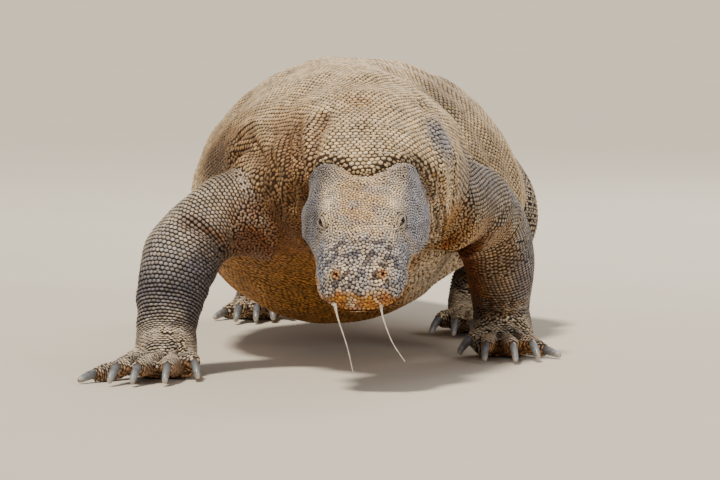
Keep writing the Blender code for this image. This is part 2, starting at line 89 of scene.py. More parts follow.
def from_head(x, y, z):
    return HEAD_START + HEAD_AXES @ Vector((x, y, z))


def from_animal(x, y, z):
    return SHIFT + Vector((x, y, z))

# %% [markdown]
# ## Camera
# A long lens from about six metres in front of the skull, above the height of the back and tipped down
# a little, gives the flat view of an animal that comes straight on.


# %% Camera
LENS = 255.9  # millimetres, for a sensor 36 wide
CAMERA_AWAY, CAMERA_HEIGHT = 6.0, 0.576
CAMERA_TIP = 3.89  # degrees down


def add_object(name, data):
    """Puts data into the scene as a new object."""
    obj = bpy.data.objects.new(name, data)
    scene.collection.objects.link(obj)
    return obj


camera_data = bpy.data.cameras.new("camera")
camera_data.sensor_width = 36
camera_data.lens = LENS
camera_data.clip_end = 120
camera = add_object("camera", camera_data)
camera.location = from_animal(0, -CAMERA_AWAY, CAMERA_HEIGHT)
camera.rotation_euler = (math.radians(90 - CAMERA_TIP), 0, 0)
scene.camera = camera
print("camera", CAMERA_AWAY, "m in front of the skull, lens", LENS, "mm")

# %% [markdown]
# ## Small helpers
# `hex_colour` turns a screen colour into the linear values that a shader works with. `add_node` adds
# one node with its settings and links, so that a material reads as a short list. `new_piece` makes an
# object from points and faces. Search trees find the nearest face of a mesh or the nearest of many
# points.


# %% Small helpers
def hex_colour(text):
    parts = [int(text[i:i + 2], 16) / 255 for i in (1, 3, 5)]
    return (*[c / 12.92 if c <= 0.04045 else ((c + 0.055) / 1.055) ** 2.4 for c in parts], 1.0)


def add_node(tree, kind, inputs=None, **settings):
    """Adds a node. Each input, by name or number, is given a socket to link to or a value.

    A setting goes to the node itself, or else to the value of the input of that name.
    """
    node = tree.nodes.new(kind)
    for key, value in settings.items():
        if hasattr(node, key):
            setattr(node, key, value)
    for key, value in settings.items():
        if not hasattr(node, key):
            node.inputs[key.replace("_", " ")].default_value = value
    for key, given in (inputs or {}).items():
        if isinstance(given, bpy.types.NodeSocket):
            tree.links.new(given, node.inputs[key])
        else:
            node.inputs[key].default_value = given
    return node


def smoothstep(low, high, x):
    t = np.clip((x - low) / (high - low), 0, 1)
    return t * t * (3 - 2 * t)


def new_piece(name, points, faces):
    mesh = bpy.data.meshes.new(name)
    mesh.from_pydata([tuple(p) for p in points], [], [tuple(f) for f in faces])
    mesh.update()
    return add_object(name, mesh)


def tube_faces(rings, around):
    """Squares between rings of points that are numbered ring by ring."""
    return [(r * around + i, r * around + (i + 1) % around, (r + 1) * around + (i + 1) % around,
             (r + 1) * around + i) for r in range(rings - 1) for i in range(around)]


def triangle_count(mesh):
    return sum(len(p.vertices) - 2 for p in mesh.polygons)


def read_points(mesh, attribute="co"):
    values = np.empty(len(mesh.vertices) * 3)
    mesh.vertices.foreach_get(attribute, values)
    return values.reshape(-1, 3)


def write_points(mesh, points):
    mesh.vertices.foreach_set("co", np.ascontiguousarray(points, dtype=np.float32).ravel())
    mesh.update()


def tree_of(mesh):
    """A search tree of the mesh's faces, for casting rays and finding the nearest skin."""
    points = read_points(mesh).tolist()
    return BVHTree.FromPolygons(points, [tuple(p.vertices) for p in mesh.polygons])


def tree_over(points, numbers=None):
    """A search tree of points, or only of those with these numbers."""
    numbers = range(len(points)) if numbers is None else numbers
    tree = KDTree(len(numbers))
    for i in numbers:
        tree.insert(points[i], i)
    tree.balance()
    return tree

# %% [markdown]
# ## One skin over the flesh
# A real skin runs over every joint without a seam. The solid pieces of flesh are copied, swollen by
# less than a millimetre so that they overlap, and joined. A voxel remesh then wraps them in one closed
# surface of even squares, the best kind of mesh to smooth and to press folds into.


# %% Wrap the flesh
FLESH = sorted(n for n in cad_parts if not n.startswith(("claw", "eye")))
VOXEL = 0.0036  # side of a square of the skin
OVERLAP = 0.0007  # how far each solid is swollen


def flesh_mesh(names, swell):
    """The named solids in one mesh, each swollen by this much."""
    joined = bmesh.new()
    for name in names:
        part = bmesh.new()
        part.from_mesh(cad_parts[name].data)
        bmesh.ops.remove_doubles(part, verts=part.verts, dist=1e-5)
        part.normal_update()
        for vertex in part.verts:
            vertex.co += vertex.normal * swell
        copy = bpy.data.meshes.new("copy")
        part.to_mesh(copy)
        part.free()
        joined.from_mesh(copy)
        bpy.data.meshes.remove(copy)
    mesh = bpy.data.meshes.new("flesh")
    joined.to_mesh(mesh)
    joined.free()
    return mesh


def applied(obj):
    """The object's mesh with its modifiers applied."""
    graph = bpy.context.evaluated_depsgraph_get()
    return bpy.data.meshes.new_from_object(obj.evaluated_get(graph), depsgraph=graph)


wrap = add_object("wrap", flesh_mesh(FLESH + ["eye_left", "eye_right"], OVERLAP))
remesh = wrap.modifiers.new("wrap", "REMESH")
remesh.mode, remesh.voxel_size = "VOXEL", VOXEL
skin_mesh = applied(wrap)
bpy.data.objects.remove(wrap)
print("skin squares:", len(skin_mesh.polygons))

# %% [markdown]
# ## Smooth by region
# The facets of the solids have to go, but toes and eyelids must stay crisp. Each point of the skin
# finds the solid it lies on, and that solid says how many rounds of smoothing the point gets. The
# rounds are blurred over the borders first, so that no ring shows where two regions meet.


# %% Which solid lies under each point
def edges_of(mesh):
    """The two point numbers of each edge."""
    values = np.empty(len(mesh.edges) * 2, int)
    mesh.edges.foreach_get("vertices", values)
    return values.reshape(-1, 2)


def relax(values, edges, strength, rounds):
    """Moves each value towards the mean of its neighbours; strength is one number a point."""
    a, b = edges.T
    count = len(values)
    degree = np.maximum(np.bincount(a, minlength=count) + np.bincount(b, minlength=count), 1)
    for i in range(rounds):
        mean = np.stack([np.bincount(a, values[b, k], count) + np.bincount(b, values[a, k], count)
                         for k in range(values.shape[1])], 1) / degree[:, None]
        values = values + strength(i)[:, None] * (mean - values)
    return values


def group_tree(names):
    """A search tree of several solids, and the solid of each face."""
    points, faces, owners = [], [], []
    for name in names:
        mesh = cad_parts[name].data
        start = len(points)
        points += [v.co[:] for v in mesh.vertices]
        faces += [tuple(start + v for v in p.vertices) for p in mesh.polygons]
        owners += [name] * len(mesh.polygons)
    return BVHTree.FromPolygons(points, faces), owners


SMOOTH_ROUNDS = {"head": 12, "lower_jaw": 12, "neck": 45, "chest": 80, "belly": 100, "hips": 80,
                 "tail_base": 50, "tail_middle": 24, "tail_end": 10, "tail_tip": 3, "upper": 30,
                 "forearm": 22, "hand": 6, "thigh": 36, "shank": 20, "foot": 6}
flesh_tree, flesh_owner = group_tree(FLESH)
skin_points = read_points(skin_mesh)
skin_edges = edges_of(skin_mesh)
STEP = 0.5  # how far a point goes towards its neighbours' mean in a round
BLUR_ROUNDS = 16


def owner_of(point):
    return flesh_owner[flesh_tree.find_nearest(point)[2]]


def by_solid(table, usual):
    """Each skin point's value in a table of solids, or of the first words of their names."""
    values = np.full(len(owner), usual)
    for name in FLESH:
        key = name if name in table else name.split("_")[0]
        values[owner == name] = table.get(key, usual)
    return values


owner = np.array([owner_of(p) for p in skin_points.tolist()])
rounds = by_solid(SMOOTH_ROUNDS, 0.0)
steady = np.full(len(rounds), STEP)
rounds = relax(rounds[:, None], skin_edges, lambda i: steady, BLUR_ROUNDS)[:, 0]
print("rounds of smoothing:", round(rounds.min()), "to", round(rounds.max()))

# %% Smooth, then sink the skin by the depth of the scales
COAT_DEPTH = {"head": 0.0007, "lower_jaw": 0.0007, "hand": 0.0008, "foot": 0.0008}
BODY_DEPTH = 0.0013
depth = by_solid(COAT_DEPTH, BODY_DEPTH)
most_rounds = math.ceil(rounds.max())
skin_points = relax(skin_points, skin_edges, lambda i: STEP * np.clip(rounds - i, 0, 1), most_rounds)
write_points(skin_mesh, skin_points)
skin_points = skin_points - read_points(skin_mesh, "normal") * (OVERLAP + depth)[:, None]
write_points(skin_mesh, skin_points)
print("skin sunk; lowest point", round(float(skin_points[:, 2].min()), 5))

# %% [markdown]
# ## Lines drawn on the skin
# Folds, the mouth and the rows of scales all follow lines. A line is drawn in front of the animal, or in the
# head's axes, and rays carry it onto the skin. Round the mouth, the nostrils, the ears and the eyes the skin
# gets a finer mesh first, because a groove needs at least three points across it.


# %% Lines on the skin
def curve_through(points, step):
    """Evenly spaced points on a smooth curve through the given ones."""
    p = np.array(points, float)
    p = np.vstack([2 * p[0] - p[1], p, 2 * p[-1] - p[-2]])
    found = []
    for a, b, c, d in zip(p, p[1:], p[2:], p[3:]):
        for t in np.arange(0, 1, step / max(np.linalg.norm(c - b), step)):
            found.append(0.5 * (2 * b + (c - a) * t + (2 * a - 5 * b + 4 * c - d) * t * t
                                + (3 * b - a - 3 * c + d) * t ** 3))
    return np.array(found + [p[-2]])


def front_line(tree, points, start_y=-1.5):
    """A line given as (x, z) in the animal's axes, carried onto the skin from the front."""
    hits = [tree.ray_cast(from_animal(x, start_y, z), Vector((0, 1, 0)))[0]
            for x, z in curve_through(points, 0.002)]
    hits = np.array([h for h in hits if h is not None])
    gaps = np.linalg.norm(np.diff(hits, axis=0), axis=1)
    return hits[np.minimum(np.append(gaps, 0), np.insert(gaps, 0, 0)) < 0.009]


def side_line(tree, points, side):
    """A line given as (forward, up) in the head's axes, carried onto the skin from one side."""
    across = HEAD_AXES @ Vector((-side, 0, 0))
    hits = [tree.ray_cast(from_head(side * 0.3, y, z), across)[0]
            for y, z in curve_through(points, 0.002)]
    return np.array([h for h in hits if h is not None])


def snout_line(tree, forward, up, turns):
    """A line round the snout, cast outwards from a point on the head's middle line."""
    start = from_head(0, forward, up)
    hits = [tree.ray_cast(start, HEAD_AXES @ Vector((math.sin(a), math.cos(a), 0.05 * math.cos(a))))[0]
            for a in np.radians(turns)]
    return np.array([h for h in hits if h is not None])


skin_tree = tree_of(skin_mesh)
MOUTH = ((0.052, -0.0185), (0.080, -0.0200), (0.110, -0.0160), (0.140, -0.0130))
mouth_line = np.vstack([side_line(skin_tree, MOUTH, -1),
                        snout_line(skin_tree, 0.140, -0.0125, range(-88, 89, 3)),
                        side_line(skin_tree, MOUTH, 1)[::-1]])
NOSTRIL = (0.0262, 0.168)  # half spread, distance forward
EAR = (0.032, -0.004)  # distance forward, height
nostrils = [skin_tree.ray_cast(from_head(s * NOSTRIL[0], NOSTRIL[1] + 0.04, 0.09),
                               HEAD_AXES @ Vector((0, -0.55, -0.83)))[0] for s in (-1, 1)]
ears = [Vector(side_line(skin_tree, (EAR, (EAR[0] + 0.001, EAR[1])), s)[0]) for s in (-1, 1)]
print("mouth points:", len(mouth_line), "nostrils", [tuple(round(c, 3) for c in n) for n in nostrils])


# %% A finer mesh round the features of the head
def refine(mesh, centres, radius):
    """Halves the edges of all faces nearer than this radius to a centre."""
    near = tree_over(centres)
    work = bmesh.new()
    work.from_mesh(mesh)
    edges = {e for f in work.faces if near.find(f.calc_center_median())[2] < radius for e in f.edges}
    bmesh.ops.subdivide_edges(work, edges=list(edges), cuts=1, use_grid_fill=True)
    work.to_mesh(mesh)
    work.free()


features = [*mouth_line.tolist(), *nostrils, *ears, *EYES.values()]
refine(skin_mesh, [*EYES.values(), *nostrils, *ears], 0.020)
refine(skin_mesh, features, 0.012)
refine(skin_mesh, features, 0.007)
print("skin faces:", len(skin_mesh.polygons))

# %% [markdown]
# ## Sculpt folds, nostrils, mouth and ears
# Loose skin hangs in pleats round a monitor's neck, gathers in hoops over the shoulder and doubles over
# at the elbow. Each fold is a groove with a low swelling on both sides, pressed in along the skin's own
# normals. Nostrils and ears are round pits, and the mouth is a long thin groove.


# %% Sculpting strokes
# Each fold: points across and up in the animal's axes, depth, width.
FRONT_FOLDS = (
    # hoops over the right shoulder
    (((-.154, .244), (-.150, .255), (-.138, .266), (-.129, .264), (-.119, .251), (-.115, .235),
      (-.112, .219)), .0085, .0085),
    (((-.160, .266), (-.144, .278), (-.131, .282), (-.121, .270), (-.108, .244), (-.104, .208)),
     .0075, .0085),
    # pleats on the right side of the neck
    (((-.0905, .297), (-.0845, .269), (-.081, .2355), (-.0774, .197)), .0065, .0085),
    (((-.103, .280), (-.099, .245), (-.0949, .218), (-.092, .190)), .0050, .0070),
    (((-.076, .310), (-.071, .280), (-.068, .250), (-.068, .215)), .0050, .0075),
    (((-.038, .322), (-.045, .300), (-.052, .275), (-.0605, .243)), .0060, .0095),
    # pleats on the left side of the neck
    (((.068, .332), (.079, .312), (.088, .281), (.092, .255), (.093, .197)), .0050, .0075),
    (((.109, .275), (.111, .264), (.112, .218), (.108, .190)), .0040, .0055),
    # a double collar behind the left jowl
    (((.0575, .270), (.071, .261), (.083, .244), (.093, .216), (.0985, .186), (.096, .155)), .0030, .0035),
    # the doubled skin inside both elbows
    (((.090, .138), (.129, .140), (.149, .155), (.177, .189)), .0060, .0060),
    (((-.216, .187), (-.1875, .173), (-.172, .160), (-.1665, .1445)), .0060, .0060),
)
# The crease behind the head, from the right jowl over the nape to the left one.
NAPE_CREASE = ((-.0571, .1427), (-.0679, .170), (-.0679, .1986), (-.0624, .2171), (-.0548, .2438),
               (-.0476, .257), (-.0346, .2625), (-.0220, .2583), (-.0094, .2512), (.0068, .2502),
               (.0229, .2534), (.0350, .2595), (.0464, .2629), (.0595, .2605), (.069, .251),
               (.0786, .2308), (.0881, .2058), (.0917, .1796), (.0881, .1546))
# Over the nostrils, three over each eye and the temples: place in the head's axes, reach, height.
HEAD_SWELLINGS = (((.030, .166, .033), .011, .0024), ((.039, .076, .045), .011, .0042),
                  ((.037, .096, .041), .010, .0036), ((.049, .100, .036), .010, .0012),
                  ((.050, .004, .040), .020, .0030))
# Fuller jowls, the left one hanging lowest: across and up in the animal's axes, reach, height.
JOWLS = ((-.062, .190, .026, .0042), (.074, .206, .024, .0044), (.068, .172, .022, .0080),
         (.0635, .160, .014, .0085))


def distance_to(points, path, reach, at=None):
    """Each point's distance to the path, or twice the reach where it is farther than the reach.

    at, where given, takes the number of the nearest point of the path.
    """
    low, high = path.min(0) - reach, path.max(0) + reach
    near = np.flatnonzero(((points > low) & (points < high)).all(1))
    far = np.full(len(points), 2 * reach)
    for start in range(0, len(near), 4000):
        part = near[start:start + 4000]
        gaps = np.linalg.norm(points[part, None] - path[None], axis=2)
        far[part] = np.minimum(gaps.min(1), 2 * reach)
        if at is not None:
            at[part] = gaps.argmin(1)
    return far


def press_fold(points, normals, path, depth, width, swell=0.45, fade=7):
    """A groove with a low swelling on both sides; it fades out over this many points at either end."""
    at = np.zeros(len(points))
    t = distance_to(points, path, 4 * width, at) / width
    height = swell * depth * np.exp(-((t - 2.0) / 0.9) ** 2) - depth * np.exp(-t * t)
    height *= smoothstep(-1, fade, np.minimum(at, len(path) - 1 - at))
    return points + normals * height[:, None]


def press_pit(points, centre, direction, radius, depth, edge=0.5):
    """A round pit; its wall starts at this share of the radius."""
    gap = points - np.array(centre)
    off_axis = gap - np.outer(gap @ direction, direction)
    inside = 1 - smoothstep(edge * radius, radius, np.linalg.norm(off_axis, axis=1))
    inside[np.linalg.norm(gap, axis=1) > 3 * radius] = 0
    return points - np.outer(inside * depth, direction)


def mottle(points, size, seed):
    """Soft patches between 0 and 1, each about this size across."""
    waves = np.random.default_rng(seed)
    total = np.zeros(len(points))
    for _ in range(7):
        direction = waves.normal(size=3)
        direction *= math.pi / (size * np.linalg.norm(direction)) * waves.uniform(0.7, 1.4)
        total += np.sin(points @ direction + waves.uniform(0, math.tau))
    return np.clip(0.5 + total / 7, 0, 1)


def bulge(points, normals, centre, radius, height):
    """A soft round swelling, or a hollow where the height is negative."""
    gap = np.linalg.norm(points - np.array(centre), axis=1)
    return points + normals * (height * np.exp(-(gap / radius) ** 2))[:, None]


# %% Lines along the toes
def squared(directions, reference):
    """Unit directions, and the part of the reference that is square to each, also of unit length."""
    directions = directions / np.linalg.norm(directions, axis=1)[:, None]
    up = reference - directions * (reference * directions).sum(1)[:, None]
    return directions, up / np.linalg.norm(up, axis=1)[:, None]


def toe_line(claw, foot):
    """Back from the root of a claw along its toe, to where the toe joins the foot."""
    points = np.unique(np.round(read_points(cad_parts[claw].data), 6), axis=0)
    middle = points.mean(0)
    axis = np.linalg.svd(points - middle)[2][0]
    if axis @ (np.array(box_middle(foot)) - middle) < 0:
        axis = -axis
    order = np.argsort((points - middle) @ axis)
    root, tip = points[order[-6:]].mean(0), points[order[0]]
    ahead = (tip - root) * (1, 1, 0)
    ahead /= np.linalg.norm(ahead)
    arch = min(root[2] / 0.0205, 1)
    share = np.linspace(1, 0, 60)
    line = root - np.outer(share, ahead) * 0.075
    line[:, 2] = root[2] + 0.002 * np.sin(share * 3) + 0.020 * (1 - arch) * share ** 1.5
    return line, *squared(np.gradient(line, axis=0), np.array([[0, 0, 1.0]]))


def between_toes(foot, toe):
    """The line on the skin between a toe and the next one."""
    one, two = (toe_line(f"claw_{foot}_{k}", foot)[0] for k in (toe, toe + 1))
    middle = (one + two) / 2
    wide = np.linalg.norm(one - two, axis=1)
    hits = [skin_tree.ray_cast(Vector(p) + Vector((0, 0, 0.05)), Vector((0, 0, -1)))[0]
            for p, w in zip(middle, wide) if w > 0.013]
    return np.array([h for h in hits if h is not None and h.z > 0.004])


# %% Sculpt
skin_points = read_points(skin_mesh)
normals = read_points(skin_mesh, "normal")
skin_tree = tree_of(skin_mesh)
nape_line = front_line(skin_tree, NAPE_CREASE)
fold_lines = [front_line(skin_tree, line) for line, _, _ in FRONT_FOLDS]
for line, (_, depth, width) in zip(fold_lines, FRONT_FOLDS):
    skin_points = press_fold(skin_points, normals, line, depth, width)
for foot in ("hand_right", "hand_left", "foot_right", "foot_left"):
    for toe in range(1, 5):
        groove = between_toes(foot, toe)
        if len(groove) > 8:
            skin_points = press_fold(skin_points, normals, groove, 0.0052, 0.0036, 0.35, 12)
head_share = smoothstep(-0.03, 0.01, in_head(skin_points)[:, 1])
off_ground = smoothstep(0.012, 0.04, skin_points[:, 2])
lumps = ((mottle(skin_points, 0.036, 11) - 0.5) * 0.0042 * (1 - head_share)
         + (mottle(skin_points, 0.013, 12) - 0.5) * 0.0022 * head_share)
skin_points += normals * (lumps * off_ground)[:, None]
skin_points = press_fold(skin_points, normals, nape_line, 0.0050, 0.0048, 0.35)
skin_points = press_fold(skin_points, normals, mouth_line, 0.0030, 0.0013, 0.35)
for side in (-1, 1):
    for (x, y, z), reach, height in HEAD_SWELLINGS:
        skin_points = bulge(skin_points, normals, from_head(side * x, y, z), reach, height)
skin_points = bulge(skin_points, normals, from_animal(.122, .46, .108), .050, -.014)  # left flank
for x, z, reach, height in JOWLS:
    middle = front_line(skin_tree, ((x, z), (x + 0.001, z)))[0]
    skin_points = bulge(skin_points, normals, middle, reach, height)
write_points(skin_mesh, skin_points)
smooth_tree = tree_of(skin_mesh)

# %% Where the neck ends and the head begins
nape_head = in_head(nape_line)
nape_turns = np.arctan2(nape_head[:, 0], nape_head[:, 2] + 0.01)
nape_order = np.argsort(nape_turns)


def ahead_of_nape(points):
    """How far each point is ahead of the crease behind the head, towards the snout."""
    x, y, z = in_head(np.atleast_2d(points)).T
    turn = np.arctan2(x, z + 0.01)
    return y - np.interp(turn, nape_turns[nape_order], nape_head[nape_order, 1])


print("the crease runs from", nape_head[:, 1].min().round(3), "to", nape_head[:, 1].max().round(3))

# %% Pits: nostrils, ears and the beds of the eyes
skin_points = read_points(skin_mesh)
EYE_AXES = {}
for key, side in (("right", 1), ("left", -1)):
    EYE_AXES[key] = HEAD_AXES @ Vector((side * 0.64, 0.27, 0.70)).normalized()
    skin_points = press_pit(skin_points, EYES[key], np.array(EYE_AXES[key]), 0.0105, 0.0075, 0.72)
for place, side in zip(nostrils, (-1, 1)):
    inward = np.array(HEAD_AXES @ Vector((side * 0.55, 0.60, 0.58)).normalized())
    skin_points = press_pit(skin_points, place, inward, 0.0034, 0.0040, 0.30)
for place, side in zip(ears, (-1, 1)):
    outward = np.array(HEAD_AXES @ Vector((side, 0, 0)))
    skin_points = press_pit(skin_points, place, outward, 0.0065, 0.0050, 0.4)
write_points(skin_mesh, skin_points)
skin_tree = tree_of(skin_mesh)
print("sculpted; folds:", len(FRONT_FOLDS) + 2)

# %% [markdown]
# ## Rings of the eyelids
# A monitor looks out through an almond slit between two thick lids. The lids are rings that start
# inside the ball, come out over it and run down onto the skin. They are worked out before the scales,
# because the smallest scales of the whole body stand on them.

# %% The rings
EYE_BALL = 0.0097
SLIT = (0.0070, 0.0027)  # half length and half height of the open eye


def eye_frame(key):
    """The eye's outward axis, the axis to the snout, and the axis to the brow."""
    out = EYE_AXES[key]
    ahead = HEAD_AXES @ Vector((-0.35 if key == "right" else 0.35, 1, -0.12))
    ahead = (ahead - out * ahead.dot(out)).normalized()
    brow = out.cross(ahead)
    return out, ahead, brow if (HEAD_AXES @ Vector((0, 0, 1))).dot(brow) > 0 else -brow


# Rings of a lid: how much wider than the slit, and height over the ball.
LID_RINGS = ((0.93, -0.0010), (1.0, 0.0002), (1.10, 0.0011), (1.26, 0.0015), (1.48, 0.0012),
             (1.75, 0.0005))
AROUND = 44  # points in a ring


def lid_ring(key, grow, lift):
    out, ahead, brow = eye_frame(key)
    points = []
    for i in range(AROUND):
        a = math.tau * i / AROUND
        along_slit = SLIT[0] * grow ** 0.8 * math.cos(a)
        over_slit = (SLIT[1] + 0.0046 * (grow - 1)) * math.sin(a) * (1 - 0.35 * math.cos(a) ** 2)
        off = math.hypot(along_slit, over_slit)
        on_ball = math.sqrt(max(EYE_BALL ** 2 - off ** 2, (0.35 * EYE_BALL) ** 2))
        points.append(EYES[key] + ahead * along_slit + brow * over_slit + out * (on_ball + lift))
    return points


lid_rings = {}
for key in EYES:
    rings = [lid_ring(key, grow, lift) for grow, lift in LID_RINGS]
    out = EYE_AXES[key]
    # two more rings lie on the skin: share of the way out, and how far the ring is sunk
    for share, sink in ((0.5, 0.0), (1.0, 0.0012)):
        wide = lid_ring(key, 1.95 + 0.75 * share, 0)
        onto = []
        for point, last in zip(wide, rings[-1]):
            hit = smooth_tree.ray_cast(point + out * 0.02, -out)[0] or point
            onto.append((last.lerp(hit, 0.75) if share < 1 else hit) - out * sink)
        rings.append(onto)
    lid_rings[key] = rings
print("rings in a lid:", len(rings))

# %% [markdown]
# ## Rows of scales
# On the neck, back, tail and legs the scales stand in rings, like hoops round a barrel. Each hoop is
# found by casting rays outwards from a line through the middle of the body part, in a plane square to
# it. Scales are then set at even steps along the hoop, and every second hoop is moved by half a step,
# as bricks are. Each scale is kept as a root on the skin, a normal, a direction of lie and its size.


# %% Middle lines
# Along the body: distance back, across, height, and how far the hoops lean, in degrees.
TRUNK = ((-.056, .0075, .2195, 46), (-.034, .007, .241, 45), (.005, .006, .240, 34),
         (.05, .004, .238, 20), (.10, .001, .236, 8), (.17, -.004, .226, 0), (.26, -.020, .205, 0),
         (.35, -.032, .192, 0), (.44, -.036, .190, 0), (.54, -.010, .180, 0), (.64, .021, .165, 0),
         (.73, .034, .168, 0), (.82, .030, .176, -2), (.92, .012, .180, -8), (1.05, -.012, .168, -15),
         (1.18, -.035, .128, -17), (1.32, -.056, .085, -14), (1.46, -.060, .055, -8),
         (1.64, -.035, .043, -3), (1.84, .030, .034, -2), (2.02, .085, .026, -2),
         (2.17, .098, .018, -2), (2.294, .081, .0095, -3))
# Each leg: root, bend, end and how far the knuckles are ahead of the end.
LEGS = {"arm_right": ((-.095, .170, .186), (-.193, .136, .168), (-.231, .078, .052), .046),
        "arm_left": ((.090, .190, .196), (.155, .292, .176), (.177, .362, .055), .046),
        "leg_right": ((-.030, .870, .205), (-.160, .866, .172), (-.136, .956, .080), .078),
        "leg_left": ((.070, .840, .205), (.184, .722, .166), (.146, .742, .056), .078)}
LEG_SOLIDS = {"arm_right": ("upper_arm_right", "forearm_right", "hand_right"),
              "arm_left": ("upper_arm_left", "forearm_left", "hand_left"),
              "leg_right": ("thigh_right", "shank_right", "foot_right"),
              "leg_left": ("thigh_left", "shank_left", "foot_left")}
TRUNK_SOLIDS = ("neck", "chest", "belly", "hips", "tail_base", "tail_middle", "tail_end", "tail_tip")


def trunk_line():
    """The middle line, and at each of its points the way back and the way up of a hoop."""
    table = np.array(TRUNK)
    y = np.linspace(table[0, 0], table[-1, 0], 1500)
    x, z, lean = (np.interp(y, table[:, 0], table[:, k]) for k in (1, 2, 3))
    kernel = np.hanning(61) / np.hanning(61).sum()
    x, z, lean = (np.convolve(np.pad(v, 30, "edge"), kernel, "valid") for v in (x, z, lean))
    lean = np.radians(lean)
    back = np.stack([np.gradient(x, y), np.cos(lean), np.sin(lean)], 1)
    up = np.stack([0 * y, -np.sin(lean), np.cos(lean)], 1)
    back[:, 0] *= 0.5  # the hoops follow only half of each sideways bend
    return np.stack([x, y, z], 1) + np.array(SHIFT), *squared(back, up)


def smoothed(rows, half):
    """Each column smoothed by a window of twice this many rows."""
    kernel = np.hanning(2 * half + 1) / np.hanning(2 * half + 1).sum()
    return np.stack([np.convolve(np.pad(column, half, "edge"), kernel, "valid") for column in rows.T], 1)


def leg_line(joints):
    root, bend, end = (np.array(j) for j in joints[:3])
    t = np.linspace(0, 1, 260)[:, None]
    pull = 2 * bend - (root + end) / 2
    leg = root * (1 - t) ** 2 + pull * 2 * t * (1 - t) + end * t * t
    foot = [leg[-1], end + (0, -.010, .033 - end[2]), end + (0, -.6 * joints[3], .021 - end[2]),
            end + (0, -joints[3] - .004, .0165 - end[2])]
    line = np.vstack([leg, curve_through(foot, 0.002)[1:]])
    line = smoothed(line, 6)
    # the hoops turn slower than the line, or they would cross in front of the wrist
    ahead = np.gradient(line, axis=0)
    ahead = smoothed(ahead / np.linalg.norm(ahead, axis=1, keepdims=True), 22)
    return line + np.array(SHIFT), *squared(ahead, np.array([[0, -0.7, 0.7]]))


# %% Notes of the scales
# Where a scale stands, which way it points, its width, length and height, its piece, the number of its
# leg or -1, how far down its leg it is, its place on the flat map, and whether it is in a row.
COAT_KEYS = ("root", "normal", "lie", "size", "part", "limb", "reach", "along", "round", "row")
SCALP = ("head", "lower_jaw")
OFF_FLOOR = 0.0035  # no scale stands lower than this
STEEPEST = 0.78  # or leans so far along its body part
TRUNK_REACH, LEG_REACH, TOE_REACH = 0.34, 0.105, 0.0165  # how far the rays of a hoop go
RAYS = 110  # in half a hoop
coat = {key: [] for key in COAT_KEYS}


def add_scale(*values):
    """Notes one scale; the values are in the order of COAT_KEYS."""
    for key, value in zip(COAT_KEYS, values):
        coat[key].append(value)


def keep_scales(chosen):
    for key in COAT_KEYS:
        coat[key] = [value for value, kept in zip(coat[key], chosen) if kept]


# %% Cast the hoops
def tightness(share, limb):
    """The rows stand closer over the wrists and the tops of the feet."""
    return 1 - 0.20 * smoothstep(0.72, 0.84, np.asarray(share)) * (limb >= 0)


def hoop_stations(line, back, up, reach, pitch, limb):
    """Where the hoops stand, so that they are never more than one pitch apart on the outside."""
    side = np.cross(back, up)
    gaps = np.zeros(len(line) - 1)
    for direction in (up, side, -side, -up * 0.6):
        casts = [skin_tree.ray_cast(Vector(p), Vector(d), reach) for p, d in zip(line, direction)]
        far = np.array([cast[3] or 0.0 for cast in casts])
        far = np.convolve(np.pad(far, 10, "edge"), np.ones(21) / 21, "valid")
        tip = line + direction * far[:, None]
        step = np.linalg.norm(np.diff(tip, axis=0), axis=1)
        gaps = np.maximum(gaps, np.where(step < 0.02, step, 0))
    total = np.insert(np.cumsum(gaps / tightness(np.linspace(0, 1, len(gaps)), limb)), 0, 0)
    return np.interp(np.arange(pitch / 2, total[-1], pitch), total, np.arange(len(line)))


def belongs(point, solids):
    """True where a hoop may set a scale: on its own solids, or on the scalp behind the nape crease."""
    name = owner_of(point)
    if "neck" in solids and (name in SCALP or name == "neck"):
        return ahead_of_nape(np.array(point))[0] < -0.001
    return name in solids


def walk_hoop(centre, top, side, turn, reach, wanted, across):
    """Spots at even steps along half a hoop, with the way on, the ray and the angle of each."""
    previous, length = None, 0.0
    for angle in np.linspace(0, math.pi * turn, RAYS):
        ray = top * math.cos(angle) + side * math.sin(angle)
        hit = skin_tree.ray_cast(Vector(centre), Vector(ray), reach)[0]
        if hit is None:
            previous, length, wanted = None, 0.0, 0.0
            continue
        if previous is not None:
            step, way = (hit - previous).length, (hit - previous).normalized()
            while step > 0 and wanted <= length + step:
                yield previous.lerp(hit, (wanted - length) / step), way, ray, angle
                wanted += across
            length += step
        previous = hit


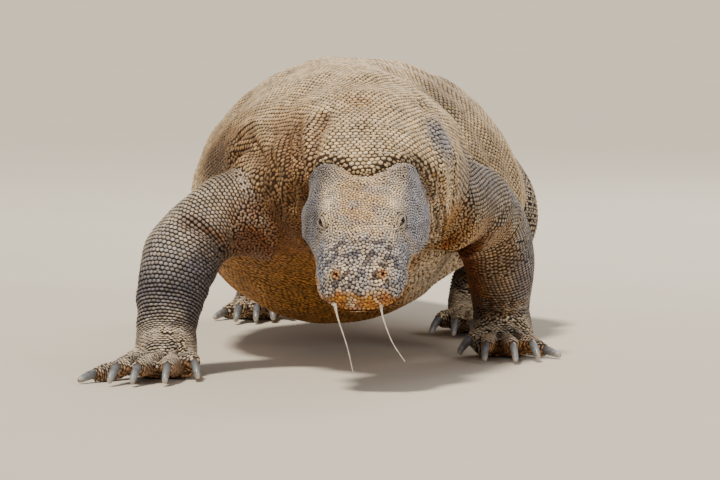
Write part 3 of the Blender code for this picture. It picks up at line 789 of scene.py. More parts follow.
def cast_hoops(label, line, back, up, solids, reach, pitch, across, height, limb=-1, strip=(0, 1), first=0):
    """Sets scales on hoops round a line; pitch is from hoop to hoop, across is along the hoop.

    strip is the start and length of the line on the flat map, and first is how far down the leg it starts.
    """
    tight_limb = -1 if reach == TOE_REACH else limb
    stations = hoop_stations(line, back, up, reach, pitch, tight_limb)
    solids, made = set(solids), 0
    for row, station in enumerate(stations):
        i, f = int(station), station - int(station)
        near_pitch = pitch * float(tightness(station / len(line), tight_limb))
        j = min(i + 1, len(line) - 1)
        centre, axis, top = (v[i] * (1 - f) + v[j] * f for v in (line, back, up))
        side = np.cross(axis, top)
        for turn in (1, -1):
            wanted = 0.5 * across if row % 2 else (0.0 if turn > 0 else across)
            for spot, way, ray, angle in walk_hoop(centre, top, side, turn, reach, wanted, across):
                loose = 0.13 if ray[2] < -0.35 and limb < 0 else 0.03
                slip = Vector(axis) * (near_pitch * rng.normal(0, loose))
                spot = spot + slip + way * (across * rng.normal(0, loose))
                root, normal, _, _ = skin_tree.find_nearest(spot)
                if root.z > OFF_FLOOR and abs(normal.dot(axis)) < STEEPEST and belongs(root, solids):
                    add_scale(root, normal, axis, (across, near_pitch, height), label, limb,
                              first + station / len(line), strip[0] + strip[1] * station / len(line),
                              angle / math.tau + 0.5, True)
                    made += 1
    print(f"{label}: {len(stations)} hoops, {made} scales")


# From hoop to hoop and along a hoop; the arms have finer scales than the hind legs.
TRUNK_PITCH, TRUNK_ACROSS, TRUNK_HEIGHT = 0.0070, 0.0068, 0.0022
TOE_PITCH, TOE_ACROSS, TOE_HEIGHT = 0.0035, 0.0058, 0.0010
LEG_PITCHES = {"arm_right": (0.0058, 0.0059), "arm_left": (0.0053, 0.0051),
               "leg_right": (0.0063, 0.0060), "leg_left": (0.0063, 0.0060)}
cast_hoops("trunk", *trunk_line(), TRUNK_SOLIDS, TRUNK_REACH, TRUNK_PITCH, TRUNK_ACROSS, TRUNK_HEIGHT)
for number, (leg, joints) in enumerate(LEGS.items()):
    pitch, across = LEG_PITCHES[leg]
    cast_hoops(leg, *leg_line(joints), LEG_SOLIDS[leg], LEG_REACH, pitch, across, 0.26 * across, number,
               (0, 0.6))
    foot = LEG_SOLIDS[leg][2]
    for toe in range(1, 6):
        cast_hoops(leg, *toe_line(f"claw_{foot}_{toe}", foot), (foot,), TOE_REACH, TOE_PITCH,
                   TOE_ACROSS, TOE_HEIGHT, number, (0.54 + 0.08 * toe, 0.076), 1)

# %% [markdown]
# ## Scales without rows
# A monitor's face carries small many-sided plates in no order, and the skin in its armpits, between its
# toes and where a leg meets the body is pebbled as well. Such places are filled by throwing darts: a
# random spot on the skin is kept if no scale is too near. A few rounds of pushing neighbours apart then
# even them out.


# %% Throw darts
def thin_out(points, spacing):
    """True for each point that has no kept point before it nearer than its own spacing."""
    near = tree_over(points)
    kept = np.ones(len(points), bool)
    for i, point in enumerate(points):
        kept[i] = not any(j < i and kept[j] for _, j, _ in near.find_range(point, spacing[i]))
    return kept


def spots_on(mesh, count, chosen):
    """Random spots on those faces of the mesh whose middles the function chosen accepts."""
    mesh.calc_loop_triangles()
    corners = np.empty(len(mesh.loop_triangles) * 3, int)
    mesh.loop_triangles.foreach_get("vertices", corners)
    corners = read_points(mesh)[corners.reshape(-1, 3)]
    corners = corners[chosen(corners.mean(1))]
    areas = np.linalg.norm(np.cross(corners[:, 1] - corners[:, 0], corners[:, 2] - corners[:, 0]), axis=1)
    picks = corners[rng.choice(len(corners), count, p=areas / areas.sum())]
    a, b = rng.random((2, count, 1))
    flip = a + b > 1
    a, b = np.where(flip, 1 - a, a), np.where(flip, 1 - b, b)
    return picks[:, 0] + a * (picks[:, 1] - picks[:, 0]) + b * (picks[:, 2] - picks[:, 0])


def push_apart(points, spacing, rounds):
    """Pushes neighbours apart along the skin; spacing is each point's own."""
    points = [Vector(p) for p in points]
    for _ in range(rounds):
        near = tree_over(points)
        moved = []
        for i, point in enumerate(points):
            push = Vector()
            for other, j, gap in near.find_range(point, 1.35 * spacing[i]):
                if j != i:
                    push += (point - other) * (0.28 * (1.35 * spacing[i] - gap) / max(gap, 1e-5))
            push.length = min(push.length, 0.3 * spacing[i])
            moved.append(skin_tree.find_nearest(point + push)[0])
        points = moved
    return points


ROW_GAP = 0.58  # the least gap between two scales in rows, as a share of the pitch
keep_scales(thin_out([tuple(p) for p in coat["root"]], [ROW_GAP * s[1] for s in coat["size"]]))
print("scales in rows:", len(coat["root"]))

# %% Plates of the face
FACE_PITCH = 0.0029
FACE_DARTS = 130000
LID_HALF = (0.0132, 0.0100)  # half length and half height of the two lids together
BARE_NOSTRIL, BARE_EAR, BARE_LIP = 0.0032, 0.0062, 0.0056  # how far from its middle each is bare
mouth_tree = tree_over(mouth_line.tolist())


def face_spacing(spot):
    """From plate to plate: widest on the snout, a little less on the cheeks, least round the eyes."""
    x, y, _ = in_head(np.array(spot))
    spacing = (FACE_PITCH + 0.0013 * float(smoothstep(0.105, 0.145, y))
               - 0.0002 * float(smoothstep(0.045, 0.055, abs(x))))
    eye_gap = min((Vector(spot) - eye).length for eye in EYES.values())
    return spacing - 0.0006 * float(1 - smoothstep(0.014, 0.022, eye_gap))


def on_bare_part(spot, lids=1.0):
    """True in an eye, a nostril, an ear or on the lips; lids is the share of them that counts as eye."""
    for key, eye in EYES.items():
        gap = spot - eye
        _, ahead, brow = eye_frame(key)
        off = math.hypot(gap.dot(ahead) / LID_HALF[0], gap.dot(brow) / LID_HALF[1])
        if off < lids and gap.length < 0.018:
            return True
    if min((spot - Vector(n)).length for n in nostrils) < BARE_NOSTRIL:
        return True
    return min((spot - e).length for e in ears) < BARE_EAR or mouth_tree.find(spot)[2] < BARE_LIP


def near_head(middles):
    head = in_head(middles)
    return (head[:, 1] > -0.02) & (head[:, 1] < 0.20) & (abs(head[:, 0]) < 0.09) & (abs(head[:, 2]) < 0.10)


def add_head_scale(root, normal, lie, size):
    """Notes a scale of the head, which has its place on the flat map by its turn round the skull."""
    x, y, z = in_head(np.array(root))
    add_scale(root, normal, np.array(lie), size, "head", -1, y / 0.19, 0.05 + 0.9 * (y + 0.02) / 0.22,
              math.atan2(x, z) / math.tau + 0.5, False)


darts = [Vector(p) for p in spots_on(skin_mesh, FACE_DARTS, near_head)]
ahead = ahead_of_nape(np.array([p[:] for p in darts]))
darts = [p for p, gap in zip(darts, ahead)
         if gap > 0.001 and owner_of(p) in SCALP + ("neck",) and not on_bare_part(p)]
spacing = np.array([face_spacing(p) for p in darts])
kept = np.flatnonzero(thin_out(darts, 0.86 * spacing))
face = push_apart([darts[i] for i in kept], spacing[kept], 4)
face = [p for p in face if not on_bare_part(p)]
for spot in face:
    root, normal, _, _ = skin_tree.find_nearest(spot)
    steep = float(smoothstep(0.12, 0.15, in_head(np.array(root))[1]))
    pitch = face_spacing(root)
    lie = HEAD_AXES @ Vector((0, -1, 0.9 * steep))
    add_head_scale(root, normal, lie, (1.06 * pitch, 0.86 * pitch, 0.0008))
print("plates of the face:", len(face))

# %% Granules on the eyelids
LID_PITCHES = {2: 0.0015, 3: 0.0017, 4: 0.0020, 5: 0.0023, 6: 0.0026}  # for each ring
made = 0
for key, rings in lid_rings.items():
    for r, pitch in LID_PITCHES.items():
        inner, ring, outer = (np.array([p[:] for p in rings[r + d]]) for d in (-1, 0, 1))
        loop = np.vstack([ring, ring[:1]])
        length = np.insert(np.cumsum(np.linalg.norm(np.diff(loop, axis=0), axis=1)), 0, 0)
        count = max(int(length[-1] / pitch), 8)
        for where in (np.arange(count) + 0.5 * (r % 2)) / count * length[-1]:
            i = min(int(np.searchsorted(length, where, "right")) - 1, len(ring) - 1)
            share = (where - length[i]) / (length[i + 1] - length[i])
            root = Vector(loop[i] * (1 - share) + loop[i + 1] * share)
            lie = Vector(outer[i] - inner[i]).normalized()
            normal = Vector(loop[i + 1] - loop[i]).cross(lie).normalized()
            if normal.dot(EYE_AXES[key]) < 0:
                normal = -normal
            onto, slope, _, _ = skin_tree.ray_cast(root + EYE_AXES[key] * 0.02, -EYE_AXES[key], 0.02)
            if onto is not None:
                root, normal = onto, slope
            add_head_scale(root, normal, lie, (0.95 * pitch, 0.72 * pitch, 0.0005))
            made += 1
print("granules on the lids:", made)

# %% Plates along the lips
lip_steps = curve_through(mouth_line[::4], 0.0046)
lip_ahead = np.gradient(lip_steps, axis=0)
outward = HEAD_AXES @ Vector((0, 0, 1))
made = 0
for spot, ahead in zip(lip_steps, lip_ahead):
    ahead = Vector(ahead).normalized()
    up = (outward - ahead * outward.dot(ahead)).normalized()
    for side, far in ((1, 0.0032), (-1, 0.0034)):
        root, normal, _, _ = skin_tree.find_nearest(Vector(spot) + up * side * far)
        add_head_scale(root, normal, up * side, (0.0045, 0.0033, 0.0008))
        made += 1
print("plates of the lips:", made)

# %% Granules where the skin of shoulder and throat wrinkles
WRINKLED = (((-.102, .09, .165), (.054, .13, .060), 1.0), ((-.068, .06, .230), (.022, .10, .070), 1.0),
            ((.108, .12, .172), (.044, .12, .036), 1.0), ((.101, .08, .225), (.017, .09, .045), 1.0))


def blobs(points, spots):
    """The strongest of some soft blobs at each point: middle, reach along each axis, strength."""
    weight = np.zeros(len(points))
    for middle, reach, strength in spots:
        gap = (((points - np.array(middle)) / np.array(reach)) ** 2).sum(1)
        weight = np.maximum(weight, strength * np.exp(-0.5 * gap ** 2 - 0.5 * gap))
    return weight


def wrinkled(points):
    return blobs(np.array([tuple(p) for p in points]) - np.array(SHIFT), WRINKLED)


ROUGH = 0.45  # more wrinkled than this, the skin has no rows
plain = [part == "head" or w < ROUGH for part, w in zip(coat["part"], wrinkled(coat["root"]))]
keep_scales(plain)
print("row scales taken off wrinkled skin:", plain.count(False))


# %% Pebbles where the rows leave the skin bare
def face_middles(mesh):
    middles = np.empty(3 * len(mesh.polygons))
    mesh.polygons.foreach_get("center", middles)
    return middles.reshape(-1, 3)


def add_pebbles(share, tries=0):
    """Fills what is bare with pebbles of this share of the pitch of the nearest scale.

    Without a number of darts, every corner and every middle of the skin's faces is tried.
    """
    roots = [tuple(p) for p in coat["root"]]
    everyone = tree_over(roots)
    on_head = tree_over(roots, [i for i, part in enumerate(coat["part"]) if part == "head"])
    on_body = tree_over(roots, [i for i, part in enumerate(coat["part"]) if part != "head"])
    if tries:
        spots = spots_on(skin_mesh, tries, lambda middles: middles[:, 2] > OFF_FLOOR)
    else:
        spots = rng.permutation(np.vstack([read_points(skin_mesh), face_middles(skin_mesh)]))
        spots = spots[spots[:, 2] > OFF_FLOOR]
    ahead = (ahead_of_nape(spots) > 0) & near_head(spots)
    darts, models, gaps = [], [], []
    for spot, rough, is_ahead in zip(spots.tolist(), wrinkled(spots), ahead):
        _, nearest, gap = everyone.find(spot)
        pitch = share * max(coat["size"][nearest][0], 0.0042)
        if rough > ROUGH and share > 0.7:
            pitch *= 0.74
        if gap > pitch and not on_bare_part(Vector(spot), 0.86):
            at_head = is_ahead and owner_of(Vector(spot)) in SCALP
            darts.append(Vector(spot))
            models.append((on_head if at_head else on_body).find(spot)[1])
            gaps.append(pitch)
    kept = np.flatnonzero(thin_out(darts, gaps))
    for i in kept:
        model, (root, normal, _, _) = models[i], skin_tree.find_nearest(darts[i])
        step, lie = root - Vector(roots[model]), Vector(coat["lie"][model])
        across = lie.cross(normal)
        pitch = gaps[i] / 0.84
        size = (0.98 * pitch, 0.84 * pitch, min(coat["size"][model][2], 0.0012))
        add_scale(root, normal, np.array(lie), size, coat["part"][model], coat["limb"][model],
                  coat["reach"][model], coat["along"][model] + 0.4 * step.dot(lie),
                  coat["round"][model] + 0.6 * step.dot(across), False)
    print(f"pebbles of {share} of the pitch:", len(kept), "scales in all:", len(coat["root"]))


add_pebbles(0.84, 220000)
add_pebbles(0.62)

# %% [markdown]
# ## Markings
# Skin and scales share one set of markings. Each scale root gets a weight for every zone of colour: grey
# legs, pale brows, slate cheeks, ochre underside, rust beside the folds and dark patches. Some of the dark is
# painted shade: inside the folds and the crease behind the head, where the neck meets the right shoulder, low
# on the right chest, over the left flank and back, on the right cheek, on the inner sides of the legs and on
# the left hind leg. Some of the pale is painted light: on the upward tops of the trunk and on the lower left
# flank. The weights come from smooth blobs and from where the scale sits on its leg, so they have no hard
# edges. A scale also gets a tone of its own, which carries painted light on the left flank and chest and
# painted shade beside and behind the right eye.


# %% Zones of colour
# Each spot: middle in the animal's axes, reach along each axis, strength. WARM is the colour of rust.
WARM_SPOTS = (((-.105, .09, .160), (.070, .13, .058), 1.0), ((-.066, .06, .225), (.028, .12, .070), .52),
              ((-.080, .12, .285), (.022, .10, .034), .30), ((.115, .12, .165), (.055, .14, .030), .12),
              ((.0, .08, .130), (.110, .13, .030), .8), ((.135, .31, .118), (.022, .06, .035), .9),
              ((-.165, .10, .140), (.018, .05, .030), .6), ((-.150, .22, .262), (.045, .12, .035), .42),
              ((-.178, .25, .250), (.035, .12, .045), .30))
# Ochre on neck and shoulders.
GOLD_SPOTS = (((.105, .12, .156), (.045, .12, .026), .85), ((-.080, .10, .235), (.042, .14, .075), .62),
              ((.0, .10, .330), (.030, .10, .022), .28), ((-.165, .22, .265), (.050, .14, .050), .38),
              ((-.105, .12, .165), (.060, .13, .060), .5))
# Dark patches; those where the neck meets the right shoulder, low on the right chest and over the left flank
# and back are painted shade.
DARK_SPOTS = (((.060, -.02, .255), (.016, .03, .018), .8), ((.150, .18, .235), (.045, .10, .055), .45),
              ((-.140, .10, .150), (.045, .10, .045), .35), ((-.085, .10, .225), (.042, .12, .075), .60),
              ((-.190, .08, .130), (.016, .05, .060), .5), ((-.225, .08, .090), (.05, .05, .035), .35),
              ((-.176, .25, .250), (.038, .12, .050), .85), ((-.130, .36, .295), (.055, .16, .045), .36),
              ((.180, .40, .245), (.060, .20, .080), .60), ((.120, .45, .320), (.055, .20, .045), .66))
SLATE_SPOTS = (((.096, .085, .283), (.023, .050, .033), .80), ((.205, .34, .130), (.022, .06, .070), .5),
               ((.190, .29, .215), (.030, .06, .030), .55), ((-.114, .17, .250), (.010, .04, .010), .5),
               ((.150, .17, .235), (.040, .10, .050), .38))
# A pale patch on the left of the neck, and painted light on the lower left flank.
PALE_AND_SUNLIT_SPOTS = (((.106, .09, .226), (.028, .10, .034), .8), ((.075, .40, .105), (.045, .20, .034), .85))
# These two change only the tone: painted light on the lower left flank and low on the left chest, and painted
# shade beside and behind the right eye; the shaded ones are in the head's axes.
PAINTED_LIGHT_SPOTS = (((.075, .40, .105), (.050, .20, .036), 1.0), ((.100, .12, .155), (.050, .12, .036), 1.0))
SHADED_SPOTS = (((.0585, .074, .013), (.010, .026, .017), 1.25), ((.049, .022, .036), (.009, .018, .012), .5))


# In the head's axes: slate beside the right eye, dark corners behind both eyes, rust in front of them.
BESIDE_EYE = (((.056, .086, .012), (.012, .020, .013), 1.0),)
EYE_CORNERS = (((.047, .020, .040), (.012, .022, .014), .7), ((-.050, .015, .036), (.010, .014, .012), .4))
UNDER_EYES = (((.043, .100, .018), (.009, .011, .010), 1.0), ((-.044, .100, .016), (.008, .011, .010), .6))
print("spots:", sum(map(len, (WARM_SPOTS, GOLD_SPOTS, DARK_SPOTS, SLATE_SPOTS, PALE_AND_SUNLIT_SPOTS))))


# %% Markings of the body
def body_markings(roots, normals, limb, reach, is_head, patch, fine):
    """Grey, ochre, warm, dark, slate and pale of the trunk, and the ground colour of the legs."""
    p = roots - np.array(SHIFT)
    across, back = p[:, 0], p[:, 1]
    is_leg, is_arm = limb >= 0, (limb == 0) | (limb == 1)
    trunk = ~is_head & ~is_leg
    left = trunk & (across > 0.055)
    grey = np.where(is_leg, 0.9 * smoothstep(0.04, 0.22, reach), 0.15 + 0.5 * smoothstep(0.95, 1.5, back))
    # an ochre underside, weaker on the lower left flank, where it is pale with painted light
    under = smoothstep(-0.15 + 0.3 * (patch - 0.5), 0.75, -normals[:, 2])
    ochre = 0.92 * trunk * under * (1 - smoothstep(0.7, 1.2, back))
    sunlit_side = smoothstep(0.02, 0.09, across) * smoothstep(0.15, 0.3, back)
    sunlit_side *= 1 - smoothstep(0.7, 0.9, back)
    ochre *= 1 - 0.62 * sunlit_side
    ochre = np.maximum(ochre, trunk * blobs(p, GOLD_SPOTS) * (0.75 + 0.5 * patch))
    pale_and_sunlit_patch = trunk * blobs(p, PALE_AND_SUNLIT_SPOTS) * (0.6 + 0.6 * fine)
    ochre *= 1 - 0.8 * pale_and_sunlit_patch
    # ochre on the undersides of the legs, the toes of the arms and the inner side of the left arm
    ochre = np.maximum(ochre, 0.45 * is_leg * (normals[:, 2] < -0.3))
    ochre = np.maximum(ochre, 0.75 * is_arm * (reach > 1) * smoothstep(0.35, -0.1, normals[:, 2]))
    ochre = np.maximum(ochre, (limb == 1) * (reach < 0.85) * 0.7 * smoothstep(-0.1, 0.5, -normals[:, 0]))
    warm = np.where(is_head, 0, blobs(p, WARM_SPOTS)) * (0.72 + 0.5 * (patch - 0.5) + 0.5 * (fine - 0.5))
    # a pale collar with a dark edge behind the left jowl
    nape_gap = distance_to(roots, nape_line, 0.02)
    collar = np.where(left, 1 - smoothstep(0.010, 0.014, nape_gap), 0)
    warm = warm * (1 - 0.75 * collar) * (1 - 0.8 * pale_and_sunlit_patch)
    ochre = ochre * (1 - 0.7 * collar)
    dark = np.where(is_head, 0, blobs(p, DARK_SPOTS))
    # painted shade in the crease behind the head
    dark = np.maximum(dark, np.where(trunk, 0.6 * (1 - smoothstep(0.003, 0.007, nape_gap)), 0))
    # painted shade inside the folds, and rust colour beside them
    fold_gap = distance_to(roots, np.vstack([line[5:-5] for line in fold_lines]), 0.014)
    fold_shade = np.where(is_head, 0, 1 - smoothstep(0.003, 0.009, fold_gap))
    dark = np.maximum(dark, np.where(across > 0.05, 0.3, 0.5) * fold_shade)
    dark = np.maximum(dark, np.where(left, 0.75 * np.exp(-((nape_gap - 0.0125) / 0.0022) ** 2), 0))
    by_fold = 0.35 * (1 - smoothstep(0.006, 0.016, fold_gap))
    warm = np.maximum(warm, np.where(is_head | (across > 0.05), 0, by_fold))
    # pale: painted light on the upward tops and on the lower left flank, the collar, and the pale patches,
    # one of which is painted light too
    pale = np.where(trunk, 0.25 * smoothstep(0.2, 0.9, normals[:, 2]) + 0.3 * collar
                    + 0.7 * pale_and_sunlit_patch + sunlit_side * smoothstep(0.1, 0.5, -normals[:, 2]), 0.0)
    slate = np.where(is_head, 0, blobs(p, SLATE_SPOTS))
    return grey, ochre, warm, dark, slate, pale


# %% Markings of the legs
def leg_markings(normals, limb, reach, patch, fine, warm, dark, slate, pale):
    """Adds a darker shin, painted shade on inner sides and the left hind leg, and narrow bands over the wrist
    and the toes.
    """
    is_leg, right_arm, left_arm, left_leg = limb >= 0, limb == 0, limb == 1, limb == 3
    inner = np.where(np.isin(limb, (0, 2)), normals[:, 0], -normals[:, 0])
    shin = smoothstep(0.50, 0.66, reach) * (1 - smoothstep(0.80, 0.9, reach))
    wrist = smoothstep(0.76, 0.84, reach) * (1 - smoothstep(0.92, 1.0, reach))
    band = 0.5 + 0.5 * np.sin(reach * 52 + 3 * (fine - 0.5))
    slate = slate + np.where(right_arm, 0.22 * shin + 0.12 * smoothstep(0.35, 0.5, reach), 0)
    fore = smoothstep(0.62, 0.72, reach) * (1 - smoothstep(0.8, 0.9, reach))
    dark += np.where(right_arm, 0.42 * fore, 0) + np.where(left_arm & (reach < 0.5), 0.22, 0)
    # painted shade on the inner sides of the legs
    inner_shade = np.where(left_arm, 0.12, 0.45) * smoothstep(0.2, 0.9, inner) * smoothstep(0.04, 0.22, reach)
    dark += np.where(is_leg, 0.30 * shin + inner_shade, 0)
    dark += np.where(is_leg & (reach > 0.80), 0.30 * smoothstep(0.5, 0.9, band) - 0.1, 0)
    dark += np.where(left_arm, 0.28 * smoothstep(0.42, 0.58, reach) * (1 - smoothstep(0.85, 1.0, reach)), 0)
    dark *= 1 - 0.6 * (left_arm & (reach < 0.85)) * smoothstep(0.2, 0.7, inner)
    # painted shade over the left hind leg above its foot
    dark += left_arm * 0.55 * wrist * smoothstep(-0.4, 0.3, inner) + left_leg * 0.3 * (reach < 0.85)
    pale += left_leg * 0.5 * (reach > 0.85)
    pale += np.where(is_leg & (reach > 0.80), 0.55 * smoothstep(0.45, 0.8, 1 - band), 0)
    warm += np.where(left_arm & (reach < 0.85), 0.8 * smoothstep(0.2, 0.8, inner), 0)
    rusty = 0.5 * smoothstep(0.60, 0.85, patch) * smoothstep(-0.1, 0.5, inner)
    warm += np.where(left_arm & (reach < 0.62), rusty, 0)
    warm += np.where(left_arm & (reach > 1.0), 0.45 * smoothstep(0.4, 0.8, 1 - band), 0)
    return warm, dark, slate, pale


# %% Markings of the head
def head_markings(roots, is_head, patch, fine, grey, ochre, warm, dark, slate, pale):
    """Gives the head slate cheeks, temples and snout, a sandy forehead, pale brows, ochre lips and chin."""
    head = in_head(roots)
    x, y, z = head.T
    side = abs(x)
    # slate and its dark smudges; the smudges are far darker on the right cheek, partly as painted shade
    cheek = smoothstep(0.040, 0.056, side) * (1 - smoothstep(0.09, 0.125, y)) * smoothstep(-0.065, -0.035, z)
    temple = smoothstep(0.020, 0.040, side) * (1 - smoothstep(0.03, 0.06, y)) * 0.55
    snout = smoothstep(0.106, 0.118, y + 0.006 * (fine - 0.5)) * (0.42 + 0.42 * fine)
    snout_side = smoothstep(0.030, 0.046, side) * smoothstep(0.085, 0.115, y)
    slate = np.where(is_head, np.clip(np.maximum.reduce([cheek, temple, snout, snout_side]), 0, 1), slate)
    smudge = 0.45 + 0.9 * (patch - 0.2) + 0.5 * (fine - 0.5)
    dark = np.where(is_head, cheek * np.where(x > 0, 0.9, 0.17) * smudge
                    + 0.45 * smoothstep(0.12, 0.15, y) * smoothstep(0.58, 0.75, fine), dark)
    beside_eye, corner = blobs(head, BESIDE_EYE), blobs(head, EYE_CORNERS)
    slate = np.where(is_head, np.maximum.reduce([slate, beside_eye, corner]), slate)
    dark = np.where(is_head, np.maximum(dark * (1 - 0.8 * beside_eye), 0.8 * corner), dark)
    # pale brows, crown and flecks of the snout
    brow = np.exp(-(((side - 0.041) / 0.011) ** 2 + ((y - 0.080) / 0.026) ** 2)) * (z > 0.02)
    crown = 0.50 * smoothstep(0.0, 0.04, y) * (1 - smoothstep(0.105, 0.125, y))
    crown *= 1 - smoothstep(0.03, 0.045, side)
    pale_snout = 1.1 * snout * smoothstep(0.42, 0.62, fine)
    pale = np.where(is_head, np.maximum.reduce([1.1 * brow, crown, pale_snout]), pale)
    # ochre lips and chin
    lip_gap = np.array([mouth_tree.find(r)[2] for r in roots[is_head].tolist()])
    front = smoothstep(0.13, 0.155, y[is_head]) * (1 - smoothstep(0.024, 0.044, side[is_head]))
    edge = 0.0045 + 0.0175 * front + 0.008 * (fine[is_head] - 0.5)
    under = smoothstep(0.012, 0.024, -z[is_head]) * smoothstep(0.10, 0.13, y[is_head])
    chin = np.zeros(len(roots))
    chin[is_head] = np.maximum(1 - smoothstep(edge, edge + 0.009, lip_gap), under)
    chin[is_head] *= 0.3 + 0.7 * smoothstep(0.085, 0.11, y[is_head])
    ochre = np.where(is_head, np.maximum(chin, smoothstep(0.030, 0.055, -z)), ochre)
    # rust and ochre round the nostrils, rusty specks on the chin
    nose_gap = np.array([min((Vector(r) - n).length for n in nostrils) for r in roots[is_head].tolist()])
    by_nose = 1 - smoothstep(0.0045, 0.0075, nose_gap)
    speck = mottle(roots, 0.006, 3)[is_head]
    warm[is_head] = np.maximum(0.45 * by_nose, 0.8 * smoothstep(0.4, 0.75, speck) * chin[is_head])
    spotted = ochre[is_head] * (0.95 - 0.55 * smoothstep(0.5, 0.8, fine[is_head]))
    ochre[is_head] = np.maximum(spotted, 0.7 * by_nose)
    # ochre patches on the forehead, slate flecks on the top of the head
    forehead = (1 - smoothstep(0.018, 0.034, side)) * smoothstep(0.0, 0.03, y)
    forehead = forehead * (1 - smoothstep(0.095, 0.12, y)) * (z > 0)
    ochre = np.maximum(ochre, is_head * forehead * 0.34 * smoothstep(0.35, 0.75, patch))
    fleck = smoothstep(0.5, 0.75, mottle(roots, 0.010, 4))
    slate = np.maximum(slate, is_head * 0.45 * fleck * smoothstep(-0.02, 0.0, z))
    warm = np.where(is_head, np.maximum(warm, 0.42 * blobs(head, UNDER_EYES)), warm)
    # slate and dark give way to the chin and the nose
    slate, dark = slate * (1 - chin), dark * (1 - 0.75 * chin)
    slate[is_head], dark[is_head] = slate[is_head] * (1 - by_nose), dark[is_head] * (1 - by_nose)
    dots = smoothstep(0.53, 0.72, speck) * smoothstep(0.105, 0.125, y[is_head])
    dark[is_head] = np.maximum(dark[is_head], dots * (1 - chin[is_head]) * (1 - by_nose))
    nose_top = np.exp(-((nose_gap - 0.0105) / 0.0035) ** 2) * (z[is_head] > 0.02)
    pale[is_head] = np.maximum(pale[is_head], 0.9 * nose_top)
    slate[is_head] *= 1 - 0.7 * nose_top
    slate = slate * np.where(is_head, 0.86 - 0.40 * np.clip(dark, 0, 1), 1)
    return np.where(is_head, 0.25, grey), ochre, warm, dark, slate, pale


# %% Markings and tones of all scales
def markings(roots, normals, limb, reach, is_head):
    """Weights of the zones for each root: grey, ochre, warm and dark, then slate and pale."""
    patch, fine = mottle(roots, 0.045, 1), mottle(roots, 0.014, 2)
    grey, ochre, *others = body_markings(roots, normals, limb, reach, is_head, patch, fine)
    others = leg_markings(normals, limb, reach, patch, fine, *others)
    zones = np.stack(head_markings(roots, is_head, patch, fine, grey, ochre, *others), 1)
    return np.clip(zones[:, :4], 0, 1), np.clip(zones[:, 4:], 0, 1)


roots = np.array([tuple(p) for p in coat["root"]])
normals = np.array([tuple(n) for n in coat["normal"]])
sizes = np.array(coat["size"])
lies = np.array([tuple(v) for v in coat["lie"]])
limbs, reaches = np.array(coat["limb"]), np.array(coat["reach"])
parts, along, around = np.array(coat["part"]), np.array(coat["along"]), np.array(coat["round"])
head_roots, on_head = in_head(roots), parts == "head"
zones_a, zones_b = markings(roots, normals, limbs, reaches, on_head)
# painted shade beside and behind the right eye, painted light on the left flank and chest; the head is a
# little lighter, most on the snout, and the upper right arm a little darker
painted_shade = on_head * blobs(head_roots, SHADED_SPOTS) * (0.35 + 0.9 * mottle(roots, 0.012, 5))
light = np.where(on_head, 0.08 + 0.12 * smoothstep(0.085, 0.11, head_roots[:, 1])
                 + 0.30 * (mottle(roots, 0.009, 6) - 0.5),
                 0.18 * blobs(roots - np.array(SHIFT), PAINTED_LIGHT_SPOTS) - 0.08 * ((limbs == 0) & (reaches < 0.5)))
tones = (0.41 + 0.59 * rng.random(len(roots))) * (1 + light) * (1 - 0.9 * np.clip(painted_shade, 0, 1))
print("mean zone weights:", zones_a.mean(0).round(2), zones_b.mean(0).round(2))

# %% [markdown]
# ## Materials
# Scales are keratin, the stuff of fingernails: hard and faintly glossy. Each scale's colour goes from a lit
# top to a rim painted darker, as painted shade where it meets the skin. The skin between them is softer and
# duller, and its colours are darker still, as painted shade in the gaps. Both mix the same zone colours in
# the same order, and only the shades differ. Noise in real millimetres breaks up each zone, and each scale
# has a tone of its own, which also carries painted light and shade.


# %% Zone colours
# Zone: colour of a scale's top, of its rim, and of the bare skin; the rim and the skin are darker as painted
# shade between the scales.
ZONE_COLOURS = {
    "sand": ("#E6CBA0", "#644A2E", "#3C2918"),
    "grey": ("#C8BCAC", "#4E4236", "#2E251C"),
    "pale": ("#F1E0C6", "#A28A6B", "#4A3826"),
    "slate": ("#8C93A6", "#363D4C", "#262A34"),
    "ochre": ("#AE7519", "#80500D", "#5E3A08"),
    "warm": ("#985212", "#431D03", "#3A1903"),
    "dark": ("#5C4936", "#1E1510", "#18100B"),
}
# How the zones are laid over the sand, one after the other, and where each weight is kept.
LAID_OVER = (("grey", "zones_a", "Red"), ("pale", "zones_b", "Green"), ("ochre", "zones_a", "Green"),
             ("warm", "zones_a", "Blue"), ("dark", "zones_a", "Alpha"), ("slate", "zones_b", "Red"))
# Inputs of a Mix node that mixes colours, and its output.
SHARE, FIRST, SECOND, BOTH = 0, 6, 7, 2


def zone_weights(tree):
    """The sockets of the six weights, and of the tone, which is the Blue of zones_b."""
    sockets = {}
    for name in ("zones_a", "zones_b"):
        read = add_node(tree, "ShaderNodeAttribute", attribute_name=name)
        split = add_node(tree, "ShaderNodeSeparateColor", {"Color": read.outputs["Color"]})
        for channel in ("Red", "Green", "Blue"):
            sockets[name, channel] = split.outputs[channel]
        sockets[name, "Alpha"] = read.outputs["Alpha"]
    return sockets


def zone_colour(tree, weights, shade):
    """Sand with all zones mixed in; shade is 0 for a scale's top, 1 for its rim and 2 for bare skin; the last
    two are painted shade.
    """
    colour = hex_colour(ZONE_COLOURS["sand"][shade])
    for zone, attribute, channel in LAID_OVER:
        over = hex_colour(ZONE_COLOURS[zone][shade])
        mix = add_node(tree, "ShaderNodeMix", {SHARE: weights[attribute, channel], FIRST: colour,
                                               SECOND: over}, data_type="RGBA")
        colour = mix.outputs[BOTH]
    return colour


def times(tree, colour, factor):
    """The colour times another, or times a number, which makes it darker or lighter."""
    mix = add_node(tree, "ShaderNodeMix", {SHARE: 1.0, FIRST: colour, SECOND: factor}, data_type="RGBA",
                   blend_type="MULTIPLY")
    return mix.outputs[BOTH]


